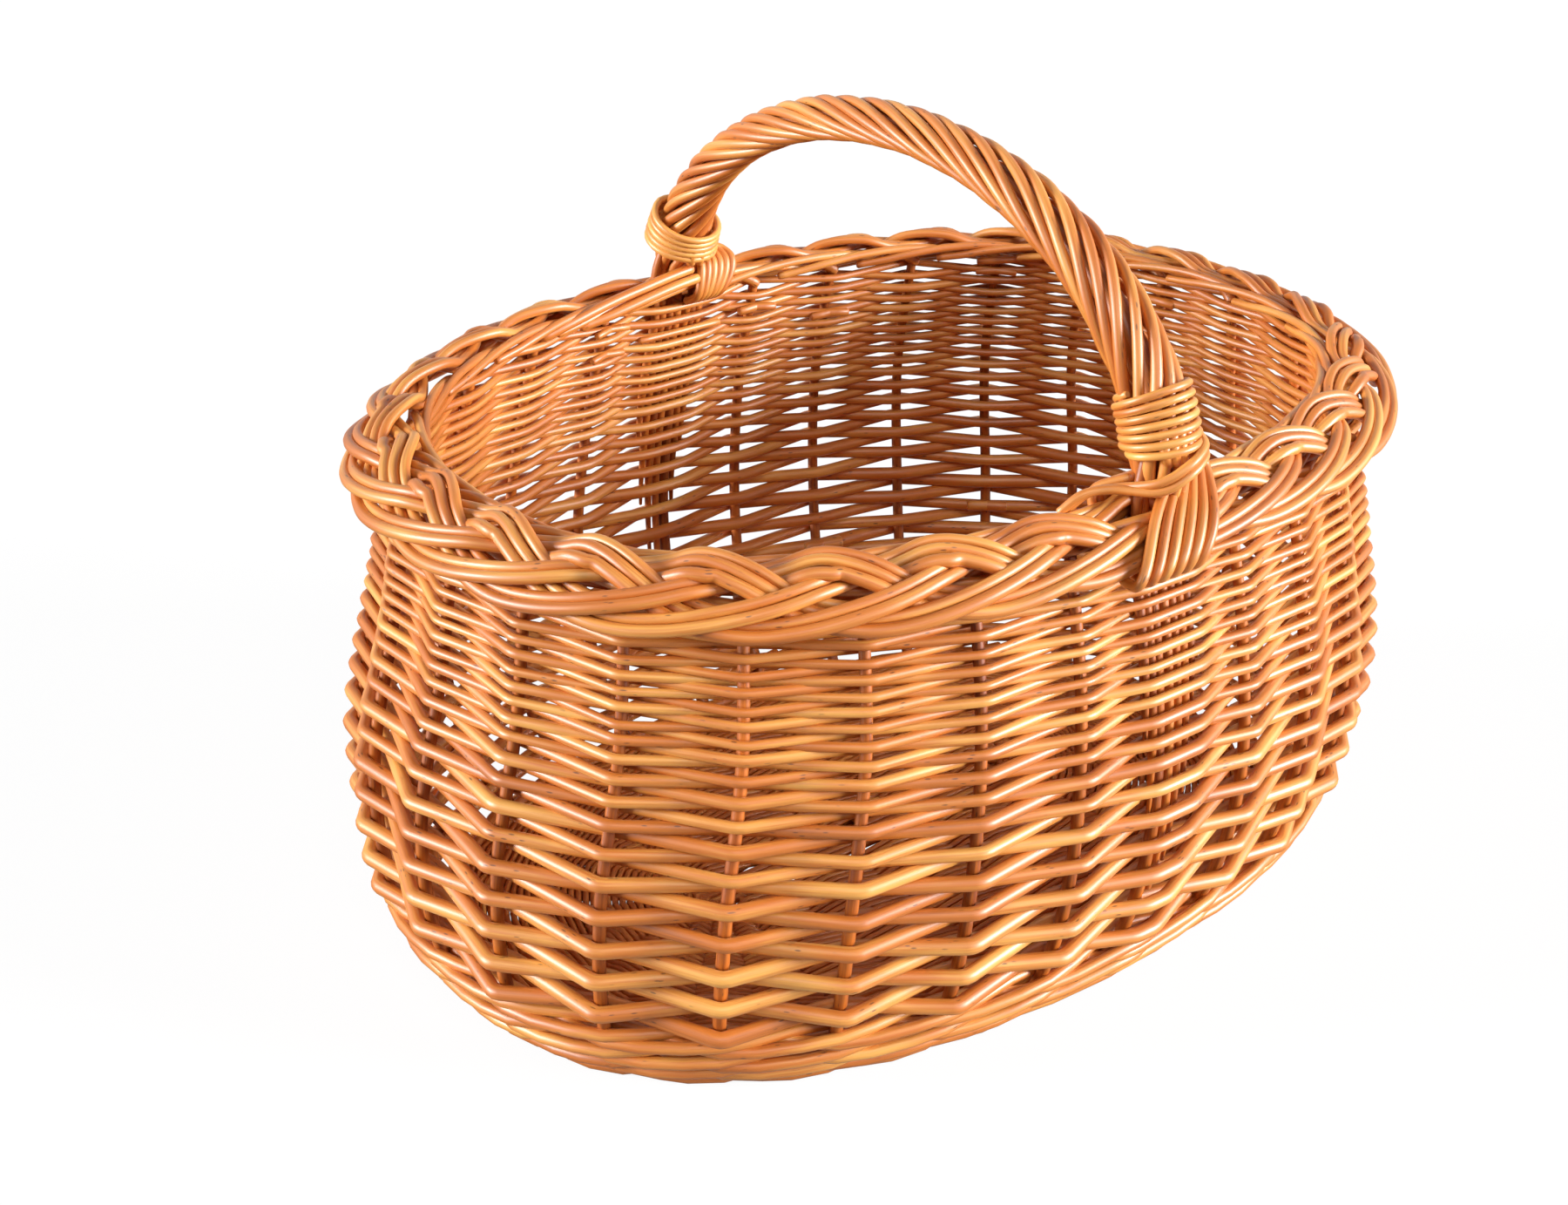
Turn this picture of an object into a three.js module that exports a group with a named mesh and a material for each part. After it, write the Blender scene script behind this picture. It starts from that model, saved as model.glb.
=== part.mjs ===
// Oval willow shopping basket with a roped bow handle.
// Origin: middle of the oval on the floor. +X along the length, +Y across, +Z up. Millimetres.
import * as THREE from "three";

// Outer face of the wall. It is widest at the belly, and at four other heights it is drawn in from there,
// by one amount at the ends of the oval and another at its long sides.
const BELLY_HEIGHT = 90;
const BELLY_HALF_LENGTH = 228;
const BELLY_HALF_WIDTH = 169;
const FOOT_END_DRAW = 29;
const FOOT_SIDE_DRAW = 40;
const HEEL_HEIGHT = 30;
const HEEL_END_DRAW = 7;
const HEEL_SIDE_DRAW = 14;
const SHOULDER_HEIGHT = 154;
const SHOULDER_END_DRAW = 12;
const SHOULDER_SIDE_DRAW = 5;
const RIM_HEIGHT = 214;
const RIM_END_DRAW = 21;
const RIM_SIDE_DRAW = 20;
const OVAL_SQUARENESS = 2.3;

// Stakes: the upright rods, thick end down.
const STAKE_COUNT = 28;
const STAKE_BUTT_RADIUS = 2.6;
const STAKE_TIP_RADIUS = 2.0;

// Siding: two weavers chase each other, each outside one stake and inside the next.
const WEAVER_BUTT_RADIUS = 2.85;
const WEAVER_TIP_RADIUS = 1.65;
const ROW_GAP = 0.5;
const THINNING_ROWS = 20;
const SIDING_TOP = 196.5;
const RODS_PER_WEAVER = 6;

// Foot wale: thicker rods that pass outside two stakes and inside one.
const WALE_RADIUS = 2.7;
const WALE_FOOT = 9.5;
const WALE_ROWS = 6;
const WALE_RODS = 5;

// Border: three strands plaited flat and tilted, the inner edge higher than the outer.
const BORDER_TILT_DEG = 36;
const BORDER_SWING = 12.3;
const BORDER_DEPTH = 4.9;
const BORDER_STRAND_HALF_WIDTH = 4.2;
const BORDER_STRAND_HALF_THICKNESS = 2.6;
const BORDER_OVERHANG = 2.3;
const BORDER_JOIN_TURN = 0.36;

// Base: woven oval floor, flat underneath and thinner at its edge, where the wale comes down.
const BASE_THICKNESS = 8;
const BASE_EDGE_THICKNESS = 5.4;
const BASE_GROOVE = 2.6;
const BASE_DIP = 1.3;
const BASE_ROUNDS = 6;

// Bow handle across the middle: a core stick whose thin ends are pushed down beside two stakes.
const HANDLE_INSET = 4.5;
const HANDLE_LEAN = 2;
const HANDLE_SPRING_HEIGHT = 219;
const HANDLE_CROWN_HEIGHT = 318;
const LEG_BOTTOM = 60;
const LEG_TIP_RADIUS = 1.4;
const LEG_RADIUS = 1.8;
const NECK_RADIUS = 2.5;
const CORE_FOOT_RADIUS = 5.9;
const CORE_CROWN_RADIUS = 3.4;
const ROPE_ROD_COUNT = 6;
const ROPE_FOOT_RADIUS = 2.85;
const ROPE_CROWN_RADIUS = 2.4;
const ROPE_TURNS = 3.5;

// Bindings round both ends of the roping, and lashings that tie the bow to the border.
const BINDING_ROD_RADIUS = 1.3;
const BINDING_PITCH = 4.0;
const NEAR_BINDING_TURNS = 7;
const FAR_BINDING_TURNS = 6;
const LASHING_ROD_RADIUS = 1.8;
const LASHING_PITCH = 4.7;
const LASHING_TURNS = 5;

// Clearances between neighbouring rods.
const REST_GAP = 0.35;
const WEAVE_CLEARANCE = 0.4;
const WINDING_CLEARANCE = 0.5;
const NECK_CLEARANCE = 1.9;
const LASHING_CLEARANCE = 0.7;
const CUT_END_GAP = 1.0;

// Rods are faceted: how far the flats lie from the centreline, as a share of the round rod's radius.
const STAKE_FLAT = 0.92;
const WEAVER_FLAT = 0.9;
const ROPE_FLAT = 0.9;
const CORE_FLAT = 0.86;
const LASHING_FLAT = 0.95;

const WILLOW = 0xc98a4b;
const WILLOW_PALE = 0xdca868;
const WILLOW_DARK = 0xb06f38;

const TURN = 2 * Math.PI;
const UP = new THREE.Vector3(0, 0, 1);
const lerp = THREE.MathUtils.lerp;
const clamp = THREE.MathUtils.clamp;

const basket = new THREE.Group();
basket.name = "shopping_basket";

function addMesh(name, geometry, color) {
  const material = new THREE.MeshStandardMaterial({ color, roughness: 0.42, metalness: 0 });
  const mesh = new THREE.Mesh(geometry, material);
  mesh.name = name;
  basket.add(mesh);
  return mesh;
}

// A closed rod through stations { point, up, wide, thick }, where wide and thick are the distances
// from the centreline to the flats of a section with the given number of sides.
function rodGeometry(stations, sides) {
  const positions = [];
  const indices = [];
  const reach = 1 / Math.cos(Math.PI / sides);
  const last = stations.length - 1;
  for (let i = 0; i <= last; i += 1) {
    const here = stations[i];
    const before = stations[Math.max(i - 1, 0)].point;
    const after = stations[Math.min(i + 1, last)].point;
    const incoming = here.point.clone().sub(before).normalize();
    const outgoing = after.clone().sub(here.point).normalize();
    const tangent = incoming.add(outgoing).normalize();
    const side = tangent.clone().cross(here.up).normalize();
    const upright = side.clone().cross(tangent);
    for (let j = 0; j < sides; j += 1) {
      const angle = (TURN * (j + 0.5)) / sides;
      const corner = here.point.clone();
      corner.addScaledVector(side, Math.cos(angle) * here.wide * reach);
      corner.addScaledVector(upright, Math.sin(angle) * here.thick * reach);
      positions.push(corner.x, corner.y, corner.z);
    }
  }
  for (let i = 0; i < last; i += 1) {
    for (let j = 0; j < sides; j += 1) {
      const a = i * sides + j;
      const b = i * sides + ((j + 1) % sides);
      indices.push(a, a + sides, b, b, a + sides, b + sides);
    }
  }
  for (let j = 1; j < sides - 1; j += 1) {
    const end = last * sides;
    indices.push(0, j, j + 1, end, end + j + 1, end + j);
  }
  return solid(positions, indices);
}

// Geometry with its faces pointing out, whichever way the rings were walked.
function solid(positions, indices) {
  let volume = 0;
  const a = new THREE.Vector3();
  const b = new THREE.Vector3();
  const c = new THREE.Vector3();
  for (let i = 0; i < indices.length; i += 3) {
    a.fromArray(positions, indices[i] * 3);
    b.fromArray(positions, indices[i + 1] * 3);
    c.fromArray(positions, indices[i + 2] * 3);
    volume += a.dot(b.cross(c));
  }
  if (volume < 0) {
    indices.reverse();
  }
  const geometry = new THREE.BufferGeometry();
  geometry.setAttribute("position", new THREE.Float32BufferAttribute(positions, 3));
  geometry.setIndex(indices);
  geometry.computeVertexNormals();
  return geometry;
}

// Height, half length and half width of the wall at each station.
const drawnIn = (z, atEnds, atSides) => [z, BELLY_HALF_LENGTH - atEnds, BELLY_HALF_WIDTH - atSides];
const WALL_STATIONS = [
  drawnIn(0, FOOT_END_DRAW, FOOT_SIDE_DRAW),
  drawnIn(HEEL_HEIGHT, HEEL_END_DRAW, HEEL_SIDE_DRAW),
  drawnIn(BELLY_HEIGHT, 0, 0),
  drawnIn(SHOULDER_HEIGHT, SHOULDER_END_DRAW, SHOULDER_SIDE_DRAW),
  drawnIn(RIM_HEIGHT, RIM_END_DRAW, RIM_SIDE_DRAW),
];
const WALL_HALF_THICKNESS = STAKE_TIP_RADIUS + 3 * WEAVER_TIP_RADIUS;

// Smooth curve through the stations: a cubic between each two, with the slope of its neighbours.
function throughStations(z, column) {
  const stations = WALL_STATIONS;
  const last = stations.length - 1;
  let i = 0;
  while (i < last - 1 && z > stations[i + 1][0]) {
    i += 1;
  }
  const slope = (k) => {
    const low = stations[Math.max(k - 1, 0)];
    const high = stations[Math.min(k + 1, last)];
    return (high[column] - low[column]) / (high[0] - low[0]);
  };
  const span = stations[i + 1][0] - stations[i][0];
  const t = (z - stations[i][0]) / span;
  const rise = stations[i + 1][column] - stations[i][column];
  const startSlope = slope(i) * span;
  const endSlope = slope(i + 1) * span;
  const cubic = (startSlope + endSlope - 2 * rise) * t ** 3;
  const square = (3 * rise - 2 * startSlope - endSlope) * t ** 2;
  return stations[i][column] + startSlope * t + square + cubic;
}

function ovalPoint(halfLength, halfWidth, angle, z) {
  const power = 2 / OVAL_SQUARENESS;
  const c = Math.cos(angle);
  const s = Math.sin(angle);
  const x = halfLength * Math.sign(c) * Math.abs(c) ** power;
  const y = halfWidth * Math.sign(s) * Math.abs(s) ** power;
  return new THREE.Vector3(x, y, z);
}

// The angles that divide the belly oval into equal lengths, starting at the near handle foot (-Y).
const OVAL_STEPS = 1440;
const ovalLengths = [0];
for (let i = 1; i <= OVAL_STEPS; i += 1) {
  const a = ovalPoint(BELLY_HALF_LENGTH, BELLY_HALF_WIDTH, (TURN * (i - 1)) / OVAL_STEPS - TURN / 4, 0);
  const b = ovalPoint(BELLY_HALF_LENGTH, BELLY_HALF_WIDTH, (TURN * i) / OVAL_STEPS - TURN / 4, 0);
  ovalLengths.push(ovalLengths[i - 1] + a.distanceTo(b));
}
const OVAL_LENGTH = ovalLengths[OVAL_STEPS];

function angleAt(turn) {
  const wanted = (turn - Math.floor(turn)) * OVAL_LENGTH;
  let low = 0;
  let high = OVAL_STEPS;
  while (high - low > 1) {
    const middle = Math.floor((low + high) / 2);
    if (ovalLengths[middle] > wanted) {
      high = middle;
    } else {
      low = middle;
    }
  }
  const share = (wanted - ovalLengths[low]) / (ovalLengths[high] - ovalLengths[low]);
  return (TURN * (low + share)) / OVAL_STEPS - TURN / 4;
}

// The stakes bend in straight steps, closer together at the heel, and all the weaving follows them.
const BEND_STEPS = 8;
const BEND_CROWDING = 1.5;
const bendHeight = (i) => RIM_HEIGHT * (i / BEND_STEPS) ** BEND_CROWDING;

function wallPoint(turn, z, inset = WALL_HALF_THICKNESS) {
  let i = 0;
  while (i < BEND_STEPS - 1 && z > bendHeight(i + 1)) {
    i += 1;
  }
  const share = (z - bendHeight(i)) / (bendHeight(i + 1) - bendHeight(i));
  const [halfLength, halfWidth] = [1, 2].map((column) => {
    const low = throughStations(bendHeight(i), column);
    const high = throughStations(bendHeight(i + 1), column);
    return lerp(low, high, share) - inset;
  });
  return ovalPoint(halfLength, halfWidth, angleAt(turn), z);
}

function wallSlope(turn, z) {
  return wallPoint(turn, z + 1).sub(wallPoint(turn, z - 1)).normalize();
}

function alongWall(turn, z) {
  const step = 0.002;
  return wallPoint(turn + step, z).sub(wallPoint(turn - step, z)).normalize();
}

function outward(turn, z) {
  return alongWall(turn, z).cross(wallSlope(turn, z)).normalize();
}

// Stakes and the two bow legs stand in the same surface. A leg is pushed in beside its stake.
const HANDLE_STAKES = [0, STAKE_COUNT / 2];
const LEG_SPACING = STAKE_BUTT_RADIUS + NECK_RADIUS + REST_GAP;

function stakeRadius(z) {
  return lerp(STAKE_BUTT_RADIUS, STAKE_TIP_RADIUS, clamp(z / RIM_HEIGHT, 0, 1));
}

function stakeTurn(k) {
  const beside = HANDLE_STAKES.includes(k) ? LEG_SPACING / OVAL_LENGTH : 0;
  return k / STAKE_COUNT - beside;
}

const borderTilt = THREE.MathUtils.degToRad(BORDER_TILT_DEG);
const STAKE_FOOT = STAKE_BUTT_RADIUS + 2 * REST_GAP;

// The stakes end under the inner edge strand of the border.
const stakeInBorder = (BORDER_OVERHANG + WALL_HALF_THICKNESS) * Math.tan(borderTilt);
const strandBelow = (BORDER_STRAND_HALF_THICKNESS + REST_GAP) / Math.cos(borderTilt);
const STAKE_TOP = RIM_HEIGHT + stakeInBorder - strandBelow - STAKE_TIP_RADIUS * Math.tan(borderTilt);

for (let k = 0; k < STAKE_COUNT; k += 1) {
  const stations = [];
  const turn = stakeTurn(k);
  for (let i = 0; i <= BEND_STEPS; i += 1) {
    const z = clamp(bendHeight(i), STAKE_FOOT, STAKE_TOP);
    const radius = stakeRadius(z) * STAKE_FLAT;
    stations.push({ point: wallPoint(turn, z), up: outward(turn, z), wide: radius, thick: radius });
  }
  const name = `stake_${String(k + 1).padStart(2, "0")}`;
  addMesh(name, rodGeometry(stations, 4), WILLOW_DARK);
}

// How far a weaver's centreline passes from a stake's. It slants away on both sides of the stake,
// more so where the oval turns sharply, so it needs more room there to clear the stake's corners.
function passingDistance(turn, z, radius) {
  const halfStep = 0.5 / STAKE_COUNT;
  const ovalTurn = alongWall(turn - halfStep, z).angleTo(alongWall(turn + halfStep, z)) / 2;
  const spacing = wallPoint(turn - halfStep, z).distanceTo(wallPoint(turn + halfStep, z));
  const straight = stakeRadius(z) + radius + WEAVE_CLEARANCE;
  const slant = ovalTurn + Math.atan((2 * straight) / spacing);
  return radius + stakeRadius(z) * STAKE_FLAT * (1 + Math.tan(slant)) + WEAVE_CLEARANCE;
}

// One weaver's way round the wall: a kink at each stake, two where a bow leg stands beside it.
function weaverStations(firstStep, lastStep, passAt, heightAt, radiusAt) {
  const stations = [];
  for (let step = firstStep; step <= lastStep; step += 1) {
    const k = ((step % STAKE_COUNT) + STAKE_COUNT) % STAKE_COUNT;
    const round = Math.floor(step / STAKE_COUNT);
    const kinks = HANDLE_STAKES.includes(k) ? [stakeTurn(k), k / STAKE_COUNT] : [k / STAKE_COUNT];
    for (const turn of kinks) {
      const travelled = (round + turn) * STAKE_COUNT;
      const z = heightAt(travelled);
      const radius = radiusAt(travelled) * WEAVER_FLAT;
      const away = passingDistance(turn, z, radius);
      const point = wallPoint(turn, z).addScaledVector(outward(turn, z), passAt(step) * away);
      stations.push({ point, up: wallSlope(turn, z), wide: radius, thick: radius });
    }
  }
  trimEnd(stations, 0, 1);
  trimEnd(stations, stations.length - 1, stations.length - 2);
  return stations;
}

// Rods join inside the wall, and not where a bow leg stands.
function joinStep(wanted, pass) {
  let step = Math.round(wanted);
  while (pass(step) !== -1 || HANDLE_STAKES.includes(step % STAKE_COUNT)) {
    step += 1;
  }
  return step;
}

function trimEnd(stations, end, neighbour) {
  const direction = stations[neighbour].point.clone().sub(stations[end].point).normalize();
  stations[end].point.addScaledVector(direction, CUT_END_GAP);
}

// Siding rows: tall rows of thick rods low down, which thin out to close rows of thin rods over the belly.
const WALE_PITCH = 2 * WALE_RADIUS + ROW_GAP;
const WALE_TOP = WALE_FOOT + WALE_PITCH * (WALE_ROWS - 1);
const SIDING_FOOT = WALE_TOP + WALE_RADIUS + WEAVER_BUTT_RADIUS + ROW_GAP;
const SIDING_RISE = SIDING_TOP - SIDING_FOOT;
const ROW_PITCH_FOOT = 2 * WEAVER_BUTT_RADIUS + ROW_GAP;
const ROW_PITCH_TOP = 2 * WEAVER_TIP_RADIUS + ROW_GAP;

// How far the rods have thinned at a row, from 0 at the foot to 1, and the sum of that over the rows below.
function thinning(row) {
  const share = clamp(row / THINNING_ROWS, 0, 1);
  return share ** 2 * (3 - 2 * share);
}

function thinningBelow(row) {
  const share = clamp(row / THINNING_ROWS, 0, 1);
  return THINNING_ROWS * (share ** 3 - share ** 4 / 2) + Math.max(row - THINNING_ROWS, 0);
}

const riseTo = (row) => ROW_PITCH_FOOT * row - (ROW_PITCH_FOOT - ROW_PITCH_TOP) * thinningBelow(row);
const rowsBeforeThin = riseTo(THINNING_ROWS);
const SIDING_ROWS = THINNING_ROWS + 2 * Math.round((SIDING_RISE - rowsBeforeThin) / (2 * ROW_PITCH_TOP));
const pitchFit = SIDING_RISE / riseTo(SIDING_ROWS);

function rowHeight(row) {
  return SIDING_FOOT + riseTo(row) * pitchFit;
}

function rowRadius(row) {
  return lerp(WEAVER_BUTT_RADIUS, WEAVER_TIP_RADIUS, thinning(row)) * Math.min(pitchFit, 1);
}

const weaverSteps = ((SIDING_ROWS - 1) * STAKE_COUNT) / 2;

for (let weaver = 0; weaver < 2; weaver += 1) {
  const letter = "ab"[weaver];
  const pass = (step) => ((step + weaver) % 2 === 0 ? 1 : -1);
  const rowAt = (travelled) => (2 * travelled) / STAKE_COUNT + weaver;
  for (let rod = 0; rod < RODS_PER_WEAVER; rod += 1) {
    const first = joinStep((weaverSteps * rod) / RODS_PER_WEAVER, pass);
    const last = joinStep((weaverSteps * (rod + 1)) / RODS_PER_WEAVER, pass);
    const height = (travelled) => rowHeight(rowAt(travelled));
    const radius = (travelled) => rowRadius(rowAt(travelled));
    const stations = weaverStations(first, last, pass, height, radius);
    addMesh(`siding_rod_${letter}${rod + 1}`, rodGeometry(stations, 4), WILLOW);
  }
}

// Foot wale: each row shifts by one stake, because the stakes don't divide by three. It ends a stroke
// short of its last round, where the siding starts.
const WALE_STROKE = 3;
const waleSteps = WALE_ROWS * STAKE_COUNT - WALE_STROKE;

for (let rod = 0; rod < WALE_RODS; rod += 1) {
  const pass = (step) => (step % WALE_STROKE === WALE_STROKE - 1 ? -1 : 1);
  const height = (travelled) => WALE_FOOT + (WALE_PITCH * travelled) / STAKE_COUNT;
  const first = joinStep((waleSteps * rod) / WALE_RODS, pass);
  const last = joinStep((waleSteps * (rod + 1)) / WALE_RODS, pass);
  const stations = weaverStations(first, last, pass, height, () => WALE_RADIUS);
  addMesh(`foot_wale_rod_${rod + 1}`, rodGeometry(stations, 4), WILLOW_DARK);
}

// Border frame at a place round the rim: across runs out and down, over runs up and out.
function borderFrame(turn) {
  const centre = wallPoint(turn, RIM_HEIGHT, -BORDER_OVERHANG);
  const along = alongWall(turn, RIM_HEIGHT).setZ(0).normalize();
  const out = along.clone().cross(UP).normalize();
  const across = out.clone().multiplyScalar(Math.cos(borderTilt)).addScaledVector(UP, -Math.sin(borderTilt));
  const over = out.clone().multiplyScalar(Math.sin(borderTilt)).addScaledVector(UP, Math.cos(borderTilt));
  return { centre, across, over, along };
}

// The bow springs from just inside the rim's outer face.
const HANDLE_HALF_SPAN = BELLY_HALF_WIDTH - RIM_SIDE_DRAW - HANDLE_INSET;

// Where the thin neck of a bow leg comes up through the border, measured across it from its middle.
const neckAcross = (() => {
  const frame = borderFrame(0);
  const neck = new THREE.Vector3(0, -HANDLE_HALF_SPAN, HANDLE_SPRING_HEIGHT);
  return neck.sub(frame.centre).dot(frame.across);
})();
const NECK_ROOM = NECK_RADIUS / Math.cos(borderTilt) + BORDER_STRAND_HALF_WIDTH + NECK_CLEARANCE
  + BORDER_STRAND_HALF_THICKNESS * Math.tan(borderTilt);
const SAMPLES_PER_STAKE = 4;
const NECK_REACH = 2.4;

// A strand swings from edge to edge in three stake spacings. From each edge it goes over one strand and
// under the next, and it gives way to the bow legs.
function strandStation(turn, phase) {
  const swing = (TURN * STAKE_COUNT * turn) / 3 + phase;
  let across = BORDER_SWING * Math.sin(swing);
  const over = -BORDER_DEPTH * Math.sin(2 * swing);
  for (const k of HANDLE_STAKES) {
    const offset = turn - k / STAKE_COUNT;
    const away = Math.abs(offset - Math.round(offset)) * STAKE_COUNT * SAMPLES_PER_STAKE;
    const room = NECK_ROOM * clamp(1 - away / NECK_REACH, 0, 1);
    const past = across - neckAcross;
    if (Math.abs(past) < room) {
      across = neckAcross + Math.sign(past) * room;
    }
  }
  const frame = borderFrame(turn);
  const point = frame.centre.addScaledVector(frame.across, across).addScaledVector(frame.over, over);
  const wide = BORDER_STRAND_HALF_WIDTH;
  return { point, up: frame.over, wide, thick: BORDER_STRAND_HALF_THICKNESS };
}

const borderJoin = Math.round(BORDER_JOIN_TURN * STAKE_COUNT * SAMPLES_PER_STAKE);
const BORDER_PHASE = Math.PI / 2 + Math.PI;

for (let strand = 0; strand < 3; strand += 1) {
  const stations = [];
  const samples = STAKE_COUNT * SAMPLES_PER_STAKE;
  for (let i = 0; i <= samples; i += 1) {
    stations.push(strandStation((borderJoin + i) / samples, BORDER_PHASE + (TURN * strand) / 3));
  }
  trimEnd(stations, 0, 1);
  trimEnd(stations, stations.length - 1, stations.length - 2);
  addMesh(`border_strand_${strand + 1}`, rodGeometry(stations, 4), WILLOW_PALE);
}

// Edge of the base: the leaning butts of the stakes rest against it.
function baseEdge(turn) {
  const lean = outward(turn, STAKE_FOOT);
  const buttReach = STAKE_BUTT_RADIUS * STAKE_FLAT * Math.hypot(lean.x, lean.y);
  const inward = lean.setZ(0).normalize().multiplyScalar(-(buttReach + REST_GAP));
  return wallPoint(turn, STAKE_FOOT).add(inward);
}

// Base: an oval floor with raised rounds of weaving on top, which rise over the sticks and dip between
// them. A stick points at each stake.
{
  const spokes = 2 * STAKE_COUNT;
  const positions = [0, 0, 0, 0, 0, BASE_THICKNESS];
  const indices = [];
  const rings = 2 * BASE_ROUNDS;
  const edge = Array.from({ length: spokes }, (_, i) => baseEdge(i / spokes));
  const ringTop = (ring, i) => {
    if (ring === rings) {
      return BASE_EDGE_THICKNESS;
    }
    return BASE_THICKNESS - (ring % 2 === 1 ? BASE_GROOVE : (i % 2) * BASE_DIP);
  };
  for (let ring = 0; ring <= rings; ring += 1) {
    const size = ring === 0 ? 1 : ring / rings;
    edge.forEach((point, i) => {
      positions.push(point.x * size, point.y * size, ring === 0 ? 0 : ringTop(ring, i));
    });
  }
  const at = (ring, i) => 2 + ring * spokes + (i % spokes);
  for (let i = 0; i < spokes; i += 1) {
    indices.push(0, at(0, i + 1), at(0, i));
    indices.push(1, at(1, i), at(1, i + 1));
    for (let ring = 1; ring < rings; ring += 1) {
      indices.push(at(ring, i), at(ring + 1, i), at(ring + 1, i + 1));
      indices.push(at(ring, i), at(ring + 1, i + 1), at(ring, i + 1));
    }
    indices.push(at(rings, i), at(0, i), at(0, i + 1));
    indices.push(at(rings, i), at(0, i + 1), at(rings, i + 1));
  }
  addMesh("base_floor", solid(positions, indices), WILLOW);
}

// Centreline of the bow over the basket: share 0 at the near spring line, 1 at the far one. It is
// bent a little fuller over the near leg than over the far one.
function bowPoint(share) {
  const angle = Math.PI * share;
  const fuller = HANDLE_LEAN * Math.sin(2 * angle);
  const y = -(HANDLE_HALF_SPAN + fuller) * Math.cos(angle);
  const z = HANDLE_SPRING_HEIGHT + (HANDLE_CROWN_HEIGHT - HANDLE_SPRING_HEIGHT + fuller) * Math.sin(angle);
  return new THREE.Vector3(0, y, z);
}

function bowTangent(share) {
  const step = 0.002;
  return bowPoint(share + step).sub(bowPoint(share - step)).normalize();
}

// The lashing goes round the border in a chamfered rectangle, and the roping starts above it.
const LASHING_CHAMFER = 3.4;
const lashingReach = LASHING_CLEARANCE + LASHING_ROD_RADIUS;
const lashingWide = BORDER_SWING + BORDER_STRAND_HALF_WIDTH + lashingReach;
const lashingThick = BORDER_DEPTH + BORDER_STRAND_HALF_THICKNESS + lashingReach;
const lashingTop = (lashingWide - LASHING_CHAMFER) * Math.sin(borderTilt) + lashingThick * Math.cos(borderTilt);
const ROPING_FOOT = RIM_HEIGHT + lashingTop + LASHING_ROD_RADIUS + 2 * WINDING_CLEARANCE;

function shareAtHeight(z) {
  return Math.asin((z - HANDLE_SPRING_HEIGHT) / (HANDLE_CROWN_HEIGHT - HANDLE_SPRING_HEIGHT)) / Math.PI;
}

const ROPING_START = shareAtHeight(ROPING_FOOT);

function coreRadius(share) {
  return lerp(CORE_FOOT_RADIUS, CORE_CROWN_RADIUS, Math.sin(Math.PI * share));
}

function ropeRadius(share) {
  return lerp(ROPE_FOOT_RADIUS, ROPE_CROWN_RADIUS, Math.sin(Math.PI * share));
}

// Core stick: up one leg inside the weave, over the crown and down the other leg.
const CORE_STEPS = 30;
const NECK_SHOULDER = 4;
{
  const up = new THREE.Vector3(1, 0, 0);
  const station = (point, radius) => ({ point, up, wide: radius * CORE_FLAT, thick: radius * CORE_FLAT });
  const bends = Array.from({ length: BEND_STEPS }, (_, i) => bendHeight(i));
  const heights = [LEG_BOTTOM, ...bends.filter((z) => z > LEG_BOTTOM && z < SIDING_TOP), SIDING_TOP];
  const leg = (turn) => heights.map((z) => {
    const share = (z - LEG_BOTTOM) / (SIDING_TOP - LEG_BOTTOM);
    return station(wallPoint(turn, z), lerp(LEG_TIP_RADIUS, LEG_RADIUS, share));
  });
  const neckTop = shareAtHeight(ROPING_FOOT - NECK_SHOULDER);
  const neck = (flip) => [0, neckTop].map((share) => station(bowPoint(flip ? 1 - share : share), NECK_RADIUS));
  const arch = [];
  for (let i = 0; i <= CORE_STEPS; i += 1) {
    const share = lerp(ROPING_START, 1 - ROPING_START, i / CORE_STEPS);
    arch.push(station(bowPoint(share), coreRadius(share)));
  }
  const stations = [...leg(0), ...neck(false), ...arch, ...neck(true).reverse(), ...leg(0.5).reverse()];
  addMesh("handle_core", rodGeometry(stations, 6), WILLOW);
}

// A point beside the bow at an angle round its axis.
function besideBow(share, angle, distance) {
  const sideways = new THREE.Vector3(1, 0, 0);
  const lifted = sideways.clone().cross(bowTangent(share));
  const away = sideways.multiplyScalar(Math.cos(angle)).addScaledVector(lifted, Math.sin(angle));
  return { point: bowPoint(share).addScaledVector(away, distance), away };
}

// The rods of the roping twist to the right.
const ROPE_STEPS_PER_TURN = 12;
for (let rod = 0; rod < ROPE_ROD_COUNT; rod += 1) {
  const stations = [];
  const steps = Math.round(ROPE_TURNS * ROPE_STEPS_PER_TURN);
  for (let i = 0; i <= steps; i += 1) {
    const share = lerp(ROPING_START, 1 - ROPING_START, i / steps);
    const angle = -TURN * (rod / ROPE_ROD_COUNT + (ROPE_TURNS * i) / steps);
    const radius = ropeRadius(share);
    const { point, away } = besideBow(share, angle, coreRadius(share) + radius + WINDING_CLEARANCE);
    stations.push({ point, up: away, wide: radius * ROPE_FLAT, thick: radius * ROPE_FLAT });
  }
  addMesh(`handle_rope_rod_${rod + 1}`, rodGeometry(stations, 4), WILLOW_PALE);
}

// Least gap of a winding to itself, between points at least half a turn apart along it.
function leastGap(points, stepsPerTurn, radius) {
  let least = Infinity;
  for (let i = 0; i < points.length; i += 1) {
    for (let j = i + Math.round(stepsPerTurn / 2); j < points.length; j += 1) {
      least = Math.min(least, points[i].distanceTo(points[j]) - 2 * radius);
    }
  }
  return least;
}

// Bindings: one thin rod wound round the roping just above the border.
const BINDING_STEPS = 12;
function bindingRadius(share) {
  const bundleRadius = coreRadius(share) + 2 * ropeRadius(share) + WINDING_CLEARANCE;
  return (bundleRadius + WINDING_CLEARANCE) / Math.cos(Math.PI / BINDING_STEPS) + BINDING_ROD_RADIUS;
}

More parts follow.
